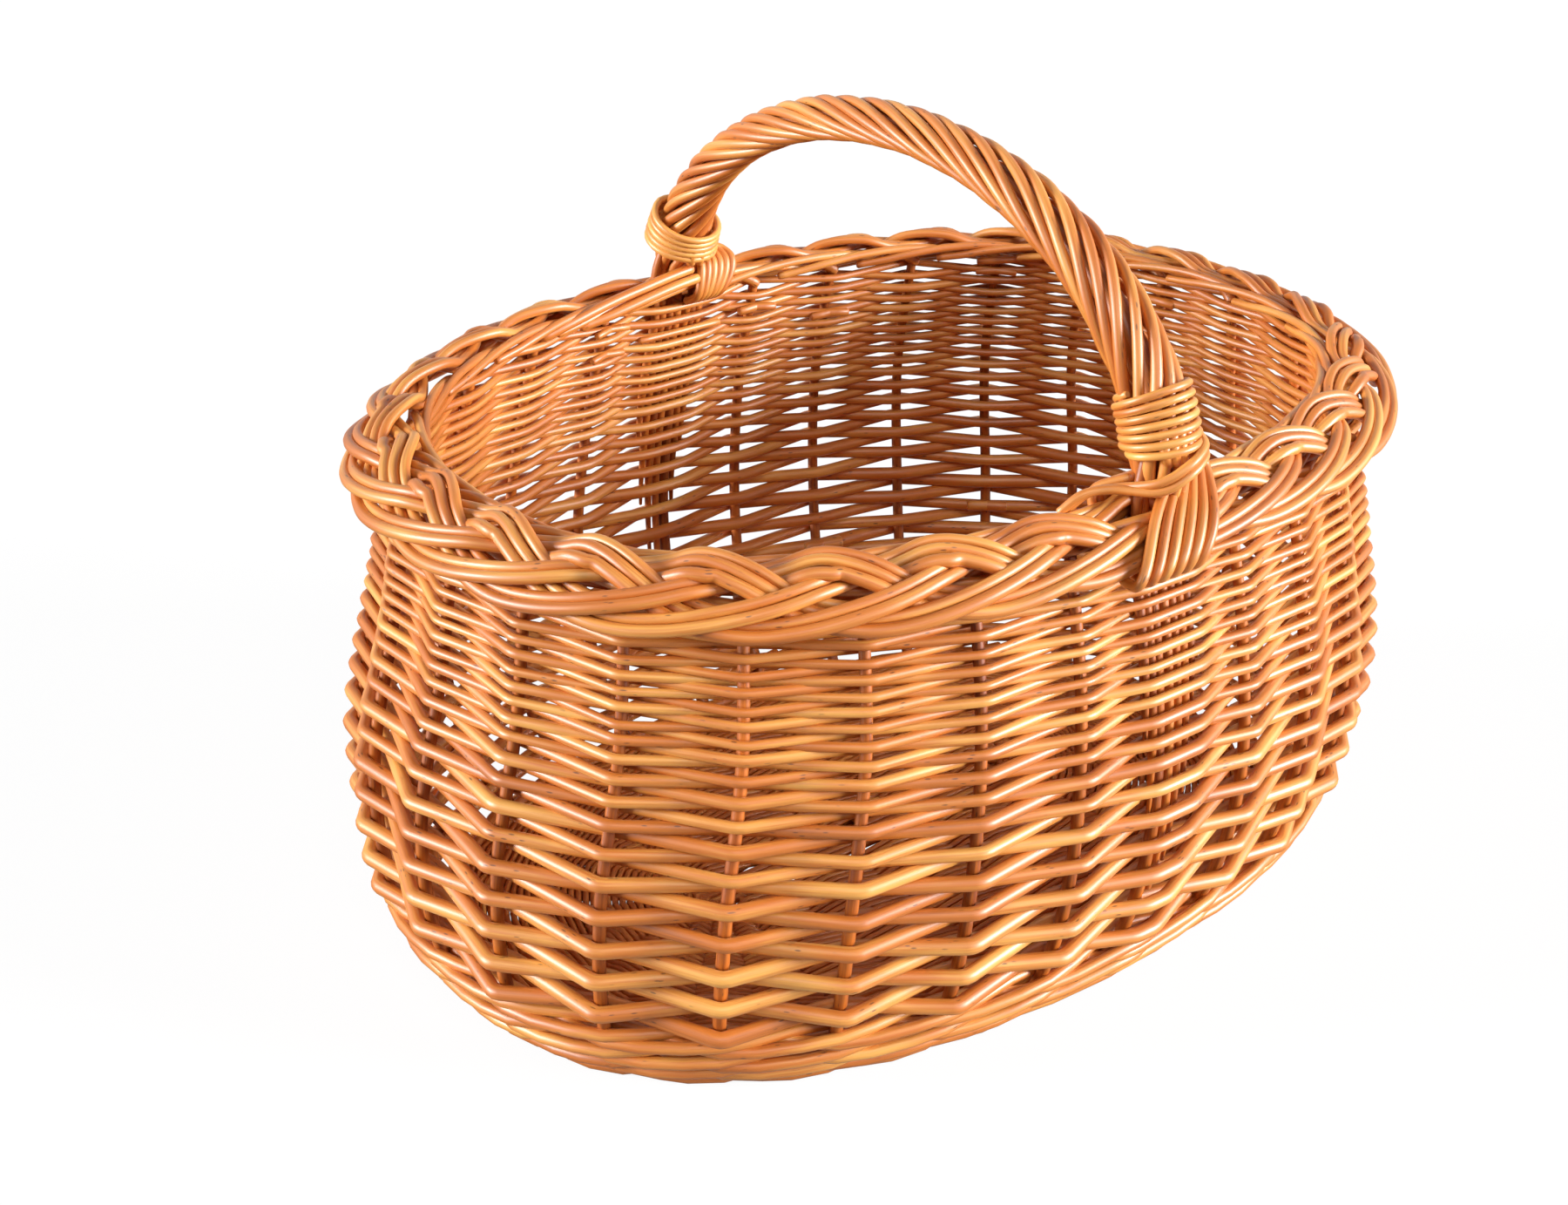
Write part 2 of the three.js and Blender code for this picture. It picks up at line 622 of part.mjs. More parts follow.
// Share of the bow that lies a given length further along it.
function shareAfter(start, length) {
  const step = 0.0005;
  let share = start;
  let travelled = 0;
  while (travelled < length) {
    travelled += bowPoint(share).distanceTo(bowPoint(share + step));
    share += step;
  }
  return share - (step * (travelled - length)) / bowPoint(share).distanceTo(bowPoint(share - step));
}

function addBinding(name, turns, far) {
  const stations = [];
  const steps = turns * BINDING_STEPS;
  for (let i = 0; i <= steps; i += 1) {
    const climbed = BINDING_ROD_RADIUS + (BINDING_PITCH * i) / BINDING_STEPS;
    const fromFoot = shareAfter(ROPING_START, climbed);
    const share = far ? 1 - fromFoot : fromFoot;
    const { point } = besideBow(share, (TURN * i) / BINDING_STEPS, bindingRadius(share));
    stations.push({ point, up: bowTangent(share), wide: BINDING_ROD_RADIUS, thick: BINDING_ROD_RADIUS });
  }
  const gap = leastGap(stations.map((station) => station.point), BINDING_STEPS, BINDING_ROD_RADIUS);
  console.log(`${name}: least gap to itself ${gap.toFixed(2)} mm`);
  addMesh(name, rodGeometry(stations, 4), WILLOW_PALE);
}

addBinding("near_binding", NEAR_BINDING_TURNS, false);
addBinding("far_binding", FAR_BINDING_TURNS, true);

// Lashings: loops round the border beside each foot of the bow, in a chamfered rectangle.
const LASHING_STEPS = 8;
function lashingCorner(step) {
  const wide = lashingWide;
  const thick = lashingThick;
  const chamfer = LASHING_CHAMFER;
  const corners = [
    [wide, thick - chamfer],
    [wide - chamfer, thick],
    [chamfer - wide, thick],
    [-wide, thick - chamfer],
    [-wide, chamfer - thick],
    [chamfer - wide, -thick],
    [wide - chamfer, -thick],
    [wide, chamfer - thick],
  ];
  return corners[step % LASHING_STEPS];
}

const LASHING_START = bindingRadius(ROPING_START) + BINDING_ROD_RADIUS + LASHING_ROD_RADIUS;

function addLashing(name, turnAtFoot, direction) {
  const stations = [];
  const steps = LASHING_TURNS * LASHING_STEPS;
  const half = LASHING_ROD_RADIUS * LASHING_FLAT;
  for (let i = 0; i <= steps; i += 1) {
    const sideways = LASHING_START + (LASHING_PITCH * i) / LASHING_STEPS;
    const frame = borderFrame(turnAtFoot + (direction * sideways) / OVAL_LENGTH);
    const [across, over] = lashingCorner(i);
    const point = frame.centre.addScaledVector(frame.across, across).addScaledVector(frame.over, over);
    stations.push({ point, up: frame.along, wide: half, thick: half });
  }
  const gap = leastGap(stations.map((station) => station.point), LASHING_STEPS, LASHING_ROD_RADIUS);
  console.log(`${name}: least gap to itself ${gap.toFixed(2)} mm`);
  addMesh(name, rodGeometry(stations, 4), WILLOW_PALE);
}

addLashing("near_lashing", 0, 1);
addLashing("far_lashing", 0.5, -1);

export default basket;
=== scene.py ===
"""Oval willow shopping basket: stakes, weaving, plaited border and roped bow handle.

Each rod is laid as a centreline with a thickness, and one Geometry Nodes tree makes it round."""

import functools
import math

import bpy
import numpy as np
from mathutils import Matrix, Vector


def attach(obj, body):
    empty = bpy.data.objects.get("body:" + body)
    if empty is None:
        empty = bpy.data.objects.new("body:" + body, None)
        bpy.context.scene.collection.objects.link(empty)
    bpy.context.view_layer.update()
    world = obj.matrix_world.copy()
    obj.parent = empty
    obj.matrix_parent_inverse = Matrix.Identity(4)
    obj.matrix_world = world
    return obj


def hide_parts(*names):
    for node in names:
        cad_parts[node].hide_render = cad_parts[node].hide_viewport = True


bl_info = {
    "name": "Willow shopping basket",
    "version": (1, 0, 0),
    "blender": (4, 5, 0),
    "location": "3D View > Sidebar > Basket",
    "description": "Weaves an oval willow basket with a plaited border and a roped bow handle",
    "category": "Add Mesh",
}

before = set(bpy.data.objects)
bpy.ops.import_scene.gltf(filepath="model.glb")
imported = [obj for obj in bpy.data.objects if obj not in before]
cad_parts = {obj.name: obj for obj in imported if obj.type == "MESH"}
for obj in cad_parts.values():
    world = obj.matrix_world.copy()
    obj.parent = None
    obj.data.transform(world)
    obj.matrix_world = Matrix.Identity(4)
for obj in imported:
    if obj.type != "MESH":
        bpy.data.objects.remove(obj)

MM = 0.001
BODY = "root"
STAKES = 28
HANDLE_STAKES = (0, STAKES // 2)


def length(name, description, millimetres):
    """A size that the sidebar shows as a length."""
    return bpy.props.FloatProperty(
        name=name,
        description=description,
        default=millimetres * MM,
        unit="LENGTH",
        subtype="DISTANCE",
        precision=5,
    )


def linear(hex_colour):
    """Linear RGB of an sRGB hex colour."""
    channels = [int(hex_colour[i : i + 2], 16) / 255 for i in (1, 3, 5)]
    return tuple(c / 12.92 if c <= 0.04045 else ((c + 0.055) / 1.055) ** 2.4 for c in channels)


def colour(name, description, hex_colour):
    """A finish colour that the sidebar shows as a swatch."""
    return bpy.props.FloatVectorProperty(
        name=name,
        description=description,
        default=linear(hex_colour),
        subtype="COLOR",
        size=3,
        min=0,
        max=1,
    )


class WallSizes(bpy.types.PropertyGroup):
    """The oval wall: widest at the belly, and drawn in from there at four other heights."""

    belly_height: length("Belly height", "Height of the widest oval", 90)
    belly_half_length: length("Belly half length", "Middle to outer face at the ends", 228)
    belly_half_width: length("Belly half width", "Middle to outer face at the sides", 169)
    foot_end_draw: length("Foot draw, ends", "How far the foot is drawn in at the ends", 29)
    foot_side_draw: length("Foot draw, sides", "How far the foot is drawn in at the sides", 40)
    heel_height: length("Heel height", "Height where the wall has turned up", 30)
    heel_end_draw: length("Heel draw, ends", "How far the heel is drawn in at the ends", 7)
    heel_side_draw: length("Heel draw, sides", "How far the heel is drawn in at the sides", 14)
    shoulder_height: length("Shoulder height", "Height where the wall leans in again", 154)
    shoulder_end_draw: length("Shoulder draw, ends", "How far the shoulder's ends draw in", 12)
    shoulder_side_draw: length("Shoulder draw, sides", "How far the shoulder's sides draw in", 5)
    rim_height: length("Rim height", "Height of the middle of the border", 214)
    rim_end_draw: length("Rim draw, ends", "How far the rim is drawn in at the ends", 21)
    rim_side_draw: length("Rim draw, sides", "How far the rim is drawn in at the sides", 20)
    half_thickness: length("Wall half thickness", "Outer face to the middle of the stakes", 7.1)
    squareness: bpy.props.FloatProperty(
        name="Squareness", description="Exponent of the oval, 2 for an ellipse", default=2.3
    )


class WeaveSizes(bpy.types.PropertyGroup):
    """Stakes, foot wale and siding."""

    stake_butt_radius: length("Stake butt radius", "Radius of a stake at the foot", 2.7)
    stake_tip_radius: length("Stake tip radius", "Radius of a stake at the rim", 2.1)
    stake_top: length("Stake top", "Height where the stakes bend into the border", 208)
    wale_radius: length("Wale radius", "Radius of the foot wale rods", 2.5)
    wale_foot: length("Wale foot", "Height of the lowest wale stroke", 3.4)
    wale_round: length("Wale round", "Rise from one round of wale to the next", 9.5)
    wale_rise: length("Wale stroke rise", "Rise of a rod between its two outer passes", 4.6)
    siding_foot: length("Siding foot", "Height of the lowest siding row", 42.5)
    siding_top: length("Siding top", "Height of the highest siding row", 212)
    foot_pitch: length("Foot pitch", "Rise from row to row at the foot", 6.8)
    top_pitch: length("Top pitch", "Rise from row to row at the top", 2.75)
    weaver_butt_radius: length("Weaver butt radius", "Radius of the siding at the foot", 3.22)
    weaver_tip_radius: length("Weaver tip radius", "Radius of the siding at the top", 1.8)
    clearance: length("Clearance", "Gap between a rod and the stake that it passes", 0.25)
    unevenness: length("Unevenness", "How far a row strays up or down at a stake", 0.3)


class BorderSizes(bpy.types.PropertyGroup):
    """The plait of the stakes' own tips."""

    overhang: length("Overhang", "Wall's outer face to the middle of the plait", 2.3)
    swing: length("Swing", "How far a strand swings from the middle of the plait", 11.9)
    depth: length("Depth", "How far a strand lies over or under the middle", 2.5)
    rod_spacing: length("Rod spacing", "From rod to rod, side by side in a strand", 4.3)
    butt_radius: length("Butt radius", "Radius of a rod where it enters the plait", 2.45)
    tip_radius: length("Tip radius", "Radius of a rod where it ends in the plait", 1.95)
    tilt: bpy.props.FloatProperty(
        name="Tilt",
        description="How far the plait leans outwards",
        default=math.radians(36),
        subtype="ANGLE",
    )


class HandleSizes(bpy.types.PropertyGroup):
    """The bow, its roping, bindings and lashings."""

    half_span: length("Half span", "Middle of the basket to the bow at the border", 144.5)
    spring_height: length("Spring height", "Height where the bow leaves the border", 219)
    crown_height: length("Crown height", "Height of the bow's centreline at the crown", 318)
    lean: length("Lean", "How much fuller the bow is over its near leg", 2)
    rope_foot_radius: length("Rope foot radius", "Radius of the roping rods at the feet", 2.4)
    rope_crown_radius: length("Rope crown radius", "Radius of the rods at the crown", 1.95)
    binding_radius: length("Binding rod radius", "Radius of the rods of the bindings", 1.5)
    liner_radius: length("Liner radius", "Radius of the liners at the border", 2.1)
    lashing_radius: length("Lashing rod radius", "Radius of the lashing rods", 2.05)


class FinishColours(bpy.types.PropertyGroup):
    """Colours of the willow under its varnish."""

    pale: colour("Pale rod", "The lightest rods", "#EEAE54")
    honey: colour("Honey rod", "Most rods", "#C86F20")
    deep: colour("Deep rod", "The darkest rods and their streaks", "#803A0C")
    fleck: colour("Fleck", "Bud scars and bark that stripping left", "#45210D")
    cut: colour("Cut end", "Bare wood of a cut end", "#D9A868")


class BasketSettings(bpy.types.PropertyGroup):
    """Everything that the sidebar shows."""

    wall: bpy.props.PointerProperty(type=WallSizes)
    weave: bpy.props.PointerProperty(type=WeaveSizes)
    border: bpy.props.PointerProperty(type=BorderSizes)
    handle: bpy.props.PointerProperty(type=HandleSizes)
    finish: bpy.props.PointerProperty(type=FinishColours)


def unit(vectors):
    """The vectors at length one."""
    return vectors / np.linalg.norm(vectors, axis=-1, keepdims=True)


class Wall:
    """The surface through the middle of the stakes, by turn round the oval and height.

    Turn 0 is under the near end of the bow (-Y), and turns grow towards +X."""

    TABLE_STEPS = 1440
    TURN_STEP = 0.002
    HEIGHT_STEP = 1 * MM

    def __init__(self, sizes):
        s = sizes
        self.heights = np.array([0, s.heel_height, s.belly_height, s.shoulder_height, s.rim_height])
        draws = np.array([
            [s.foot_end_draw, s.heel_end_draw, 0, s.shoulder_end_draw, s.rim_end_draw],
            [s.foot_side_draw, s.heel_side_draw, 0, s.shoulder_side_draw, s.rim_side_draw],
        ])
        self.halves = np.array([[s.belly_half_length], [s.belly_half_width]]) - draws
        # The face's slope at each height is the one between the heights beside it.
        last = len(self.heights) - 1
        below, above = (np.clip(np.arange(last + 1) + step, 0, last) for step in (-1, 1))
        rises = self.halves[:, above] - self.halves[:, below]
        self.slopes = rises / (self.heights[above] - self.heights[below])
        self.power = 2 / s.squareness
        self.inset = s.half_thickness
        self.rim = s.rim_height
        # Turns are shares of the way round the belly, so the stakes stand evenly there.
        self.angles = np.linspace(0, math.tau, self.TABLE_STEPS + 1) - math.pi / 2
        belly = np.stack(self.oval(s.belly_half_length, s.belly_half_width, self.angles), axis=-1)
        steps = np.linalg.norm(np.diff(belly, axis=0), axis=1)
        self.lengths = np.concatenate([[0], np.cumsum(steps)])
        self.round = self.lengths[-1]
        self.spacing = self.round / STAKES

    def oval(self, half_length, half_width, angle):
        """A point of the oval."""
        c, s = np.cos(angle), np.sin(angle)
        x = half_length * np.sign(c) * np.abs(c) ** self.power
        y = half_width * np.sign(s) * np.abs(s) ** self.power
        return x, y

    def half_size(self, column, z):
        """Half length or half width of the outer face at a height."""
        i = np.searchsorted(self.heights, z, side="right") - 1
        i = np.clip(i, 0, len(self.heights) - 2)
        span = self.heights[i + 1] - self.heights[i]
        t = (z - self.heights[i]) / span
        values = self.halves[column]
        rise = values[i + 1] - values[i]
        start = self.slopes[column][i] * span
        end = self.slopes[column][i + 1] * span
        square, cube = 3 * rise - 2 * start - end, start + end - 2 * rise
        return values[i] + start * t + square * t**2 + cube * t**3

    def point(self, turn, z, inset=None):
        """A point of the wall, at a distance inside its outer face."""
        turn, z = np.broadcast_arrays(np.asarray(turn, float), np.asarray(z, float))
        inset = self.inset if inset is None else inset
        angle = np.interp((turn % 1.0) * self.round, self.lengths, self.angles)
        x, y = self.oval(self.half_size(0, z) - inset, self.half_size(1, z) - inset, angle)
        return np.stack([x, y, z], axis=-1)

    def along(self, turn, z):
        """Direction round the wall."""
        return unit(self.point(turn + self.TURN_STEP, z) - self.point(turn - self.TURN_STEP, z))

    def up(self, turn, z):
        """Direction up the wall."""
        return unit(self.point(turn, z + self.HEIGHT_STEP) - self.point(turn, z - self.HEIGHT_STEP))

    def out(self, turn, z):
        """Direction out of the wall."""
        return unit(np.cross(self.along(turn, z), self.up(turn, z)))


# How much of the way to the next corner a rounded corner may take.
MOST_ROUNDED = 0.45


def rounded(points, reaches):
    """The way through corner points, with each corner rounded off over its reach to both sides."""
    points = np.asarray(points, float)
    middle = points[1:-1]
    before, after = points[:-2] - middle, points[2:] - middle
    shorter = np.minimum(np.linalg.norm(before, axis=1), np.linalg.norm(after, axis=1))
    reach = np.minimum(np.asarray(reaches)[1:-1], MOST_ROUNDED * shorter)[:, None]
    enter = middle + unit(before) * reach
    leave = middle + unit(after) * reach
    knee = 0.25 * enter + 0.5 * middle + 0.25 * leave
    corners = np.stack([enter, knee, leave], axis=1).reshape(-1, 3)
    return np.concatenate([points[:1], corners, points[-1:]])


def smooth(points, steps):
    """A smooth curve through the points, with so many steps between each two."""
    points = np.asarray(points, float)
    first, last = 2 * points[:1] - points[1:2], 2 * points[-1:] - points[-2:-1]
    padded = np.concatenate([first, points, last])
    t = np.linspace(0, 1, steps, endpoint=False)[None, :, None]
    a, b, c, d = (padded[i : len(padded) - 3 + i, None, :] for i in range(4))
    square, cube = 2 * a - 5 * b + 4 * c - d, 3 * b - a - 3 * c + d
    curve = 0.5 * (2 * b + (c - a) * t + square * t**2 + cube * t**3)
    return np.concatenate([curve.reshape(-1, points.shape[1]), points[-1:]])


def eased(share):
    """A share from 0 to 1 that sets off and arrives gently."""
    return share * share * (3 - 2 * share)


def dip(distance, reach):
    """How strongly something near a place works at a distance: 1 there, and fading out."""
    return np.exp(-((distance / reach) ** 2))


# The knife rounds a cut end a little. A last ring lies so far past it, and is so wide, in radii.
END_PAST = 0.35
END_WIDTH = 0.72


def rod(points, radii, tint):
    """One willow rod: its centreline, its radius at each point and its tint from 0 to 1."""
    points = np.asarray(points, float)
    radii = np.broadcast_to(np.asarray(radii, float), len(points))
    ends = [
        points[end] + unit(points[end] - points[inner]) * radii[end] * END_PAST
        for end, inner in ((0, 1), (-1, -2))
    ]
    points = np.concatenate([ends[:1], points, ends[1:]])
    radii = np.concatenate([radii[:1] * END_WIDTH, radii, radii[-1:] * END_WIDTH])
    return {"points": points, "radii": radii, "tint": tint}


def taper(count, butt_and_tip, tip_first=False):
    """Factors for a rod's radii from its butt to its tip, or the other way round."""
    first, last = butt_and_tip[::-1] if tip_first else butt_and_tip
    return np.linspace(first, last, count)


def add_node(tree, kind, inputs=None, output=0, **settings):
    """Adds a node with its settings and links, and returns the output of that name or number.

    An input gets a value, or the output that it is linked from. Output None returns them all."""
    node = tree.nodes.new(kind)
    for name, value in settings.items():
        setattr(node, name, value)
    for key, value in (inputs or {}).items():
        if isinstance(value, bpy.types.NodeSocket):
            tree.links.new(value, node.inputs[key])
        else:
            node.inputs[key].default_value = value
    return node.outputs if output is None else node.outputs[output]


# Metres along the wood from the grain of the palest rods to that of the deepest.
GRAIN_SHIFT = 7.0
# Faces with more corners than this are a rod's cut ends.
SIDE_CORNERS = 4.5


def rods_tree():
    """Geometry Nodes that turn lines with a thickness into willow rods."""
    tree = bpy.data.node_groups.get("willow_rods")
    if tree:
        return tree
    tree = bpy.data.node_groups.new("willow_rods", "GeometryNodeTree")
    for name, way, kind in (
        ("Lines", "INPUT", "Geometry"),
        ("Sides", "INPUT", "Int"),
        ("Wobble", "INPUT", "Float"),
        ("Wobble Length", "INPUT", "Float"),
        ("Seed", "INPUT", "Float"),
        ("Willow", "INPUT", "Material"),
        ("Rods", "OUTPUT", "Geometry"),
    ):
        tree.interface.new_socket(name, in_out=way, socket_type=f"NodeSocket{kind}")
    add = functools.partial(add_node, tree)
    store = "GeometryNodeStoreNamedAttribute"
    math_node, vector_math = "ShaderNodeMath", "ShaderNodeVectorMath"
    given = add("NodeGroupInput", output=None)
    place = add("GeometryNodeInputPosition")
    thickness, tint, travelled, ring_place = (
        add("GeometryNodeInputNamedAttribute", {"Name": name}, data_type=kind)
        for name, kind in (
            ("thickness", "FLOAT"),
            ("tint", "FLOAT"),
            ("travelled", "FLOAT"),
            ("ring", "FLOAT_VECTOR"),
        )
    )

    # No willow rod is straight: a slow noise bends the lines a little.
    rods = add("GeometryNodeMeshToCurve", {"Mesh": given["Lines"]})
    scale = add(math_node, {0: 1.0, 1: given["Wobble Length"]}, operation="DIVIDE")
    inputs = {"Vector": place, "W": given["Seed"], "Scale": scale, "Detail": 1.0}
    noise = add("ShaderNodeTexNoise", inputs, "Color", noise_dimensions="4D")
    stray = add(vector_math, {0: noise, 1: (0.5, 0.5, 0.5)}, operation="SUBTRACT")
    stray = add(vector_math, {0: stray, "Scale": given["Wobble"]}, operation="SCALE")
    rods = add("GeometryNodeSetPosition", {"Geometry": rods, "Offset": stray})

    # The lines become tubes that remember the way along and the place round each rod.
    way = add("GeometryNodeSplineParameter", output="Length")
    rods = add(store, {"Geometry": rods, "Name": "travelled", "Value": way}, data_type="FLOAT")
    circle = add("GeometryNodeCurvePrimitiveCircle", {"Resolution": given["Sides"], "Radius": 1.0})
    inputs = {"Geometry": circle, "Name": "ring", "Value": place}
    ring = add(store, inputs, data_type="FLOAT_VECTOR")
    inputs = {"Curve": rods, "Profile Curve": ring, "Scale": thickness, "Fill Caps": True}
    rods = add("GeometryNodeCurveToMesh", inputs)

    # The grain runs along each rod, and starts at another place for each tint.
    around = add(vector_math, {0: ring_place, "Scale": thickness}, operation="SCALE")
    shift = add(math_node, {0: tint, 1: GRAIN_SHIFT}, operation="MULTIPLY")
    shifted = add(math_node, {0: travelled, 1: shift}, operation="ADD")
    lengthwise = add("ShaderNodeCombineXYZ", {"Z": shifted})
    grain = add(vector_math, {0: around, 1: lengthwise}, operation="ADD")
    rods = add(store, {"Geometry": rods, "Name": "grain", "Value": grain}, data_type="FLOAT_VECTOR")

    # A tube's sides are quads and stay smooth, and its caps have more corners and are cut wood.
    corner_count = add("GeometryNodeInputMeshFaceNeighbors")
    cap, side = (
        add(math_node, {0: corner_count, 1: SIDE_CORNERS}, operation=operation)
        for operation in ("GREATER_THAN", "LESS_THAN")
    )
    inputs = {"Geometry": rods, "Name": "cut", "Value": cap}
    rods = add(store, inputs, data_type="FLOAT", domain="FACE")
    rods = add("GeometryNodeSetShadeSmooth", {"Geometry": rods, "Selection": side})
    rods = add("GeometryNodeRealizeInstances", {"Geometry": rods})
    rods = add("GeometryNodeSetMaterial", {"Geometry": rods, "Material": given["Willow"]})
    add("NodeGroupOutput", {"Rods": rods}, None)
    return tree


def weave_rods(context, name, rods, material, seed, sides, wobble, wobble_length):
    """Makes one piece of many rods, through Geometry Nodes, as a plain mesh."""
    counts = [len(r["points"]) for r in rods]
    starts = np.concatenate([[0], np.cumsum(counts)])
    edges = [
        (i, i + 1) for start, count in zip(starts, counts) for i in range(start, start + count - 1)
    ]
    lines = bpy.data.meshes.new(f"{name}_lines")
    lines.from_pydata(np.concatenate([r["points"] for r in rods]).tolist(), edges, [])
    for label, values in (
        ("thickness", np.concatenate([r["radii"] for r in rods])),
        ("tint", np.repeat([r["tint"] for r in rods], counts)),
    ):
        attribute = lines.attributes.new(label, "FLOAT", "POINT")
        attribute.data.foreach_set("value", values.astype(np.float32))
    piece = bpy.data.objects.new(name, lines)
    context.scene.collection.objects.link(piece)
    tree = rods_tree()
    modifier = piece.modifiers.new("willow_rods", "NODES")
    modifier.node_group = tree
    values = {
        "Sides": sides,
        "Wobble": wobble,
        "Wobble Length": wobble_length,
        "Seed": float(seed),
        "Willow": material,
    }
    for item in tree.interface.items_tree:
        if item.in_out == "INPUT" and item.name in values:
            modifier[item.identifier] = values[item.name]
    context.view_layer.update()
    graph = context.evaluated_depsgraph_get()
    mesh = bpy.data.meshes.new_from_object(
        piece.evaluated_get(graph), preserve_all_data_layers=True, depsgraph=graph
    )
    piece.modifiers.clear()
    piece.data = mesh
    mesh.name = name
    bpy.data.meshes.remove(lines)
    if not mesh.polygons:
        raise RuntimeError(f"{name} came out empty")
    return piece


# Shade and gloss of each group of rods: shade, from -1 to 1, makes it paler or deeper, and gloss
# is how much varnish it took.
FINISHES_AND_PAINTED_SHADE = {
    "base": (0.2, 0.4),
    # Part of the stakes' depth is painted shade, for the gaps between the rows where they show.
    "stakes": (0.9, 0.4),
    "wale": (0.1, 1.0),
    "siding": (0.0, 1.0),
    "border": (0.16, 1.0),
    "handle": (0.15, 1.0),
    "binding": (-0.35, 1.0),
    "lashing": (0.1, 1.0),
}


def varnished_willow(context, group):
    """Buff willow: boiled and stripped rods under a clear varnish.

    The boiling stains the wood honey brown, each rod a little differently, with long fine streaks
    and small dark bud scars. The varnish gives it sharp, pale highlights along the rods."""
    name = f"varnished_buff_willow_{group}"
    material = bpy.data.materials.get(name)
    if material:
        return material
    shade, gloss = FINISHES_AND_PAINTED_SHADE[group]
    finish = context.scene.basket.finish
    material = bpy.data.materials.new(name)
    material.use_nodes = True
    tree = material.node_tree
    tree.nodes.clear()
    add = functools.partial(add_node, tree)
    noise, cells, map_range = "ShaderNodeTexNoise", "ShaderNodeTexVoronoi", "ShaderNodeMapRange"
    grain = add("ShaderNodeAttribute", output="Vector", attribute_name="grain")
    tint, cut = (
        add("ShaderNodeAttribute", output="Fac", attribute_name=name) for name in ("tint", "cut")
    )
    textures = []
    # Width and length of each pattern's features on a rod in millimetres, and its texture. The
    # third, the fibres, are finer on real willow, and are drawn as coarse as it takes to show.
    for across, along, kind, settings in (
        (1.1, 38, noise, {"Detail": 4.0, "Roughness": 0.6}),
        (9, 48, noise, {"Detail": 2.0}),
        (0.45, 14, noise, {"Detail": 3.0}),
        (1.7, 6.5, cells, {"Randomness": 1.0}),
        (14, 24, noise, {"Detail": 0.0}),
    ):
        size = [1 / (millimetres * MM) for millimetres in (across, across, along)]
        scaled = add("ShaderNodeMapping", {"Vector": grain, "Scale": size})
        textures.append(add(kind, {"Vector": scaled, "Scale": 1.0, **settings}))
    streaks, patches, fibres, bud_cells, scar_places = textures

    # A bud scar is the middle of a cell, in the few places where scars show.
    inputs = {"Value": bud_cells, "From Min": 0.1, "From Max": 0.24, "To Min": 1.0, "To Max": 0.0}
    middle = add(map_range, inputs, interpolation_type="SMOOTHSTEP")
    inputs = {"Value": scar_places, "From Min": 0.51, "From Max": 0.65}
    shown = add(map_range, inputs, interpolation_type="SMOOTHSTEP")
    scar = add("ShaderNodeMath", {0: middle, 1: shown}, operation="MULTIPLY")

    # Depth of colour and relief are sums of the patterns. Noise lies round a half, so that half
    # of what patches and streaks add is taken off the depth.
    patchy, streaky = 1.1, 0.9
    plain = 0.2 + 0.4 * shade - (patchy + streaky) / 2
    sums = []
    for total, terms in (
        (plain, ((tint, 0.32), (patches, patchy), (streaks, streaky))),
        (0.0, ((fibres, 0.5), (streaks, 0.8), (scar, -0.5))),
    ):
        for value, weight in terms:
            inputs = {0: value, 1: weight, 2: total}
            total = add("ShaderNodeMath", inputs, operation="MULTIPLY_ADD")
        sums.append(total)
    depth, relief = sums

    wood = (*finish.pale, 1)
    # A Mix node has several inputs called A and B, and its colours go by these numbers.
    under, over_it, mixed = 6, 7, 2
    # Each colour comes in over a range of its value, up to a share.
    for value, low, high, most, ease, over in (
        (depth, -0.15, 0.55, 1.0, "SMOOTHSTEP", finish.honey),
        (depth, 0.45, 1.2, 1.0, "SMOOTHSTEP", finish.deep),
        (scar, 0.0, 1.0, 0.7, "LINEAR", finish.fleck),
        (cut, 0.0, 1.0, 0.8, "LINEAR", finish.cut),
    ):
        inputs = {"Value": value, "From Min": low, "From Max": high, "To Max": most}
        share = add(map_range, inputs, interpolation_type=ease)
        inputs = {0: share, under: wood, over_it: (*over, 1)}
        wood = add("ShaderNodeMix", inputs, mixed, data_type="RGBA")
    bump = {"Strength": 0.55, "Distance": 0.22 * MM, "Height": relief}
    inputs = {
        "Base Color": wood,
        "Roughness": add(map_range, {"Value": patches, "To Min": 0.4, "To Max": 0.6}),
        "IOR": 1.5,
        "Coat Weight": gloss,
        "Coat Roughness": 0.41,
        "Specular IOR Level": 0.5,
        "Normal": add("ShaderNodeBump", bump),
    }
    surface = add("ShaderNodeBsdfPrincipled", inputs)
    add("ShaderNodeOutputMaterial", {"Surface": surface}, None)
    return material


def add_piece(
    context, name, rods, group, nodes, seed, sides=10, wobble=0.5 * MM, wobble_length=30 * MM
):
    """Makes a finished piece on the basket's body, in place of its plain solids."""
    material = varnished_willow(context, group)
    piece = weave_rods(context, name, rods, material, seed, sides, wobble, wobble_length)
    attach(piece, BODY)
    if nodes:
        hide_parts(*nodes)


def nodes_like(prefix):
    """Names of the frame's nodes that start so."""
    return sorted(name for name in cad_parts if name.startswith(prefix))


def stake_radius(weave, wall, z):
    """Radius of a stake at a height."""
    return np.interp(z, [0, wall.rim], [weave.stake_butt_radius, weave.stake_tip_radius])


# Seven uprights stand side by side under each end of the bow. Lower down only some are left.
GROUP_FOOT = 62 * MM
GROUP_TOP = 150 * MM
GROUP_NARROW = 5.5 * MM
GROUP_WIDE = 14 * MM


def group_half_width(z):
    """Half the width of the uprights under a handle foot."""
    share = np.clip((z - GROUP_FOOT) / (GROUP_TOP - GROUP_FOOT), 0, 1)
    return GROUP_NARROW + (GROUP_WIDE - GROUP_NARROW) * share


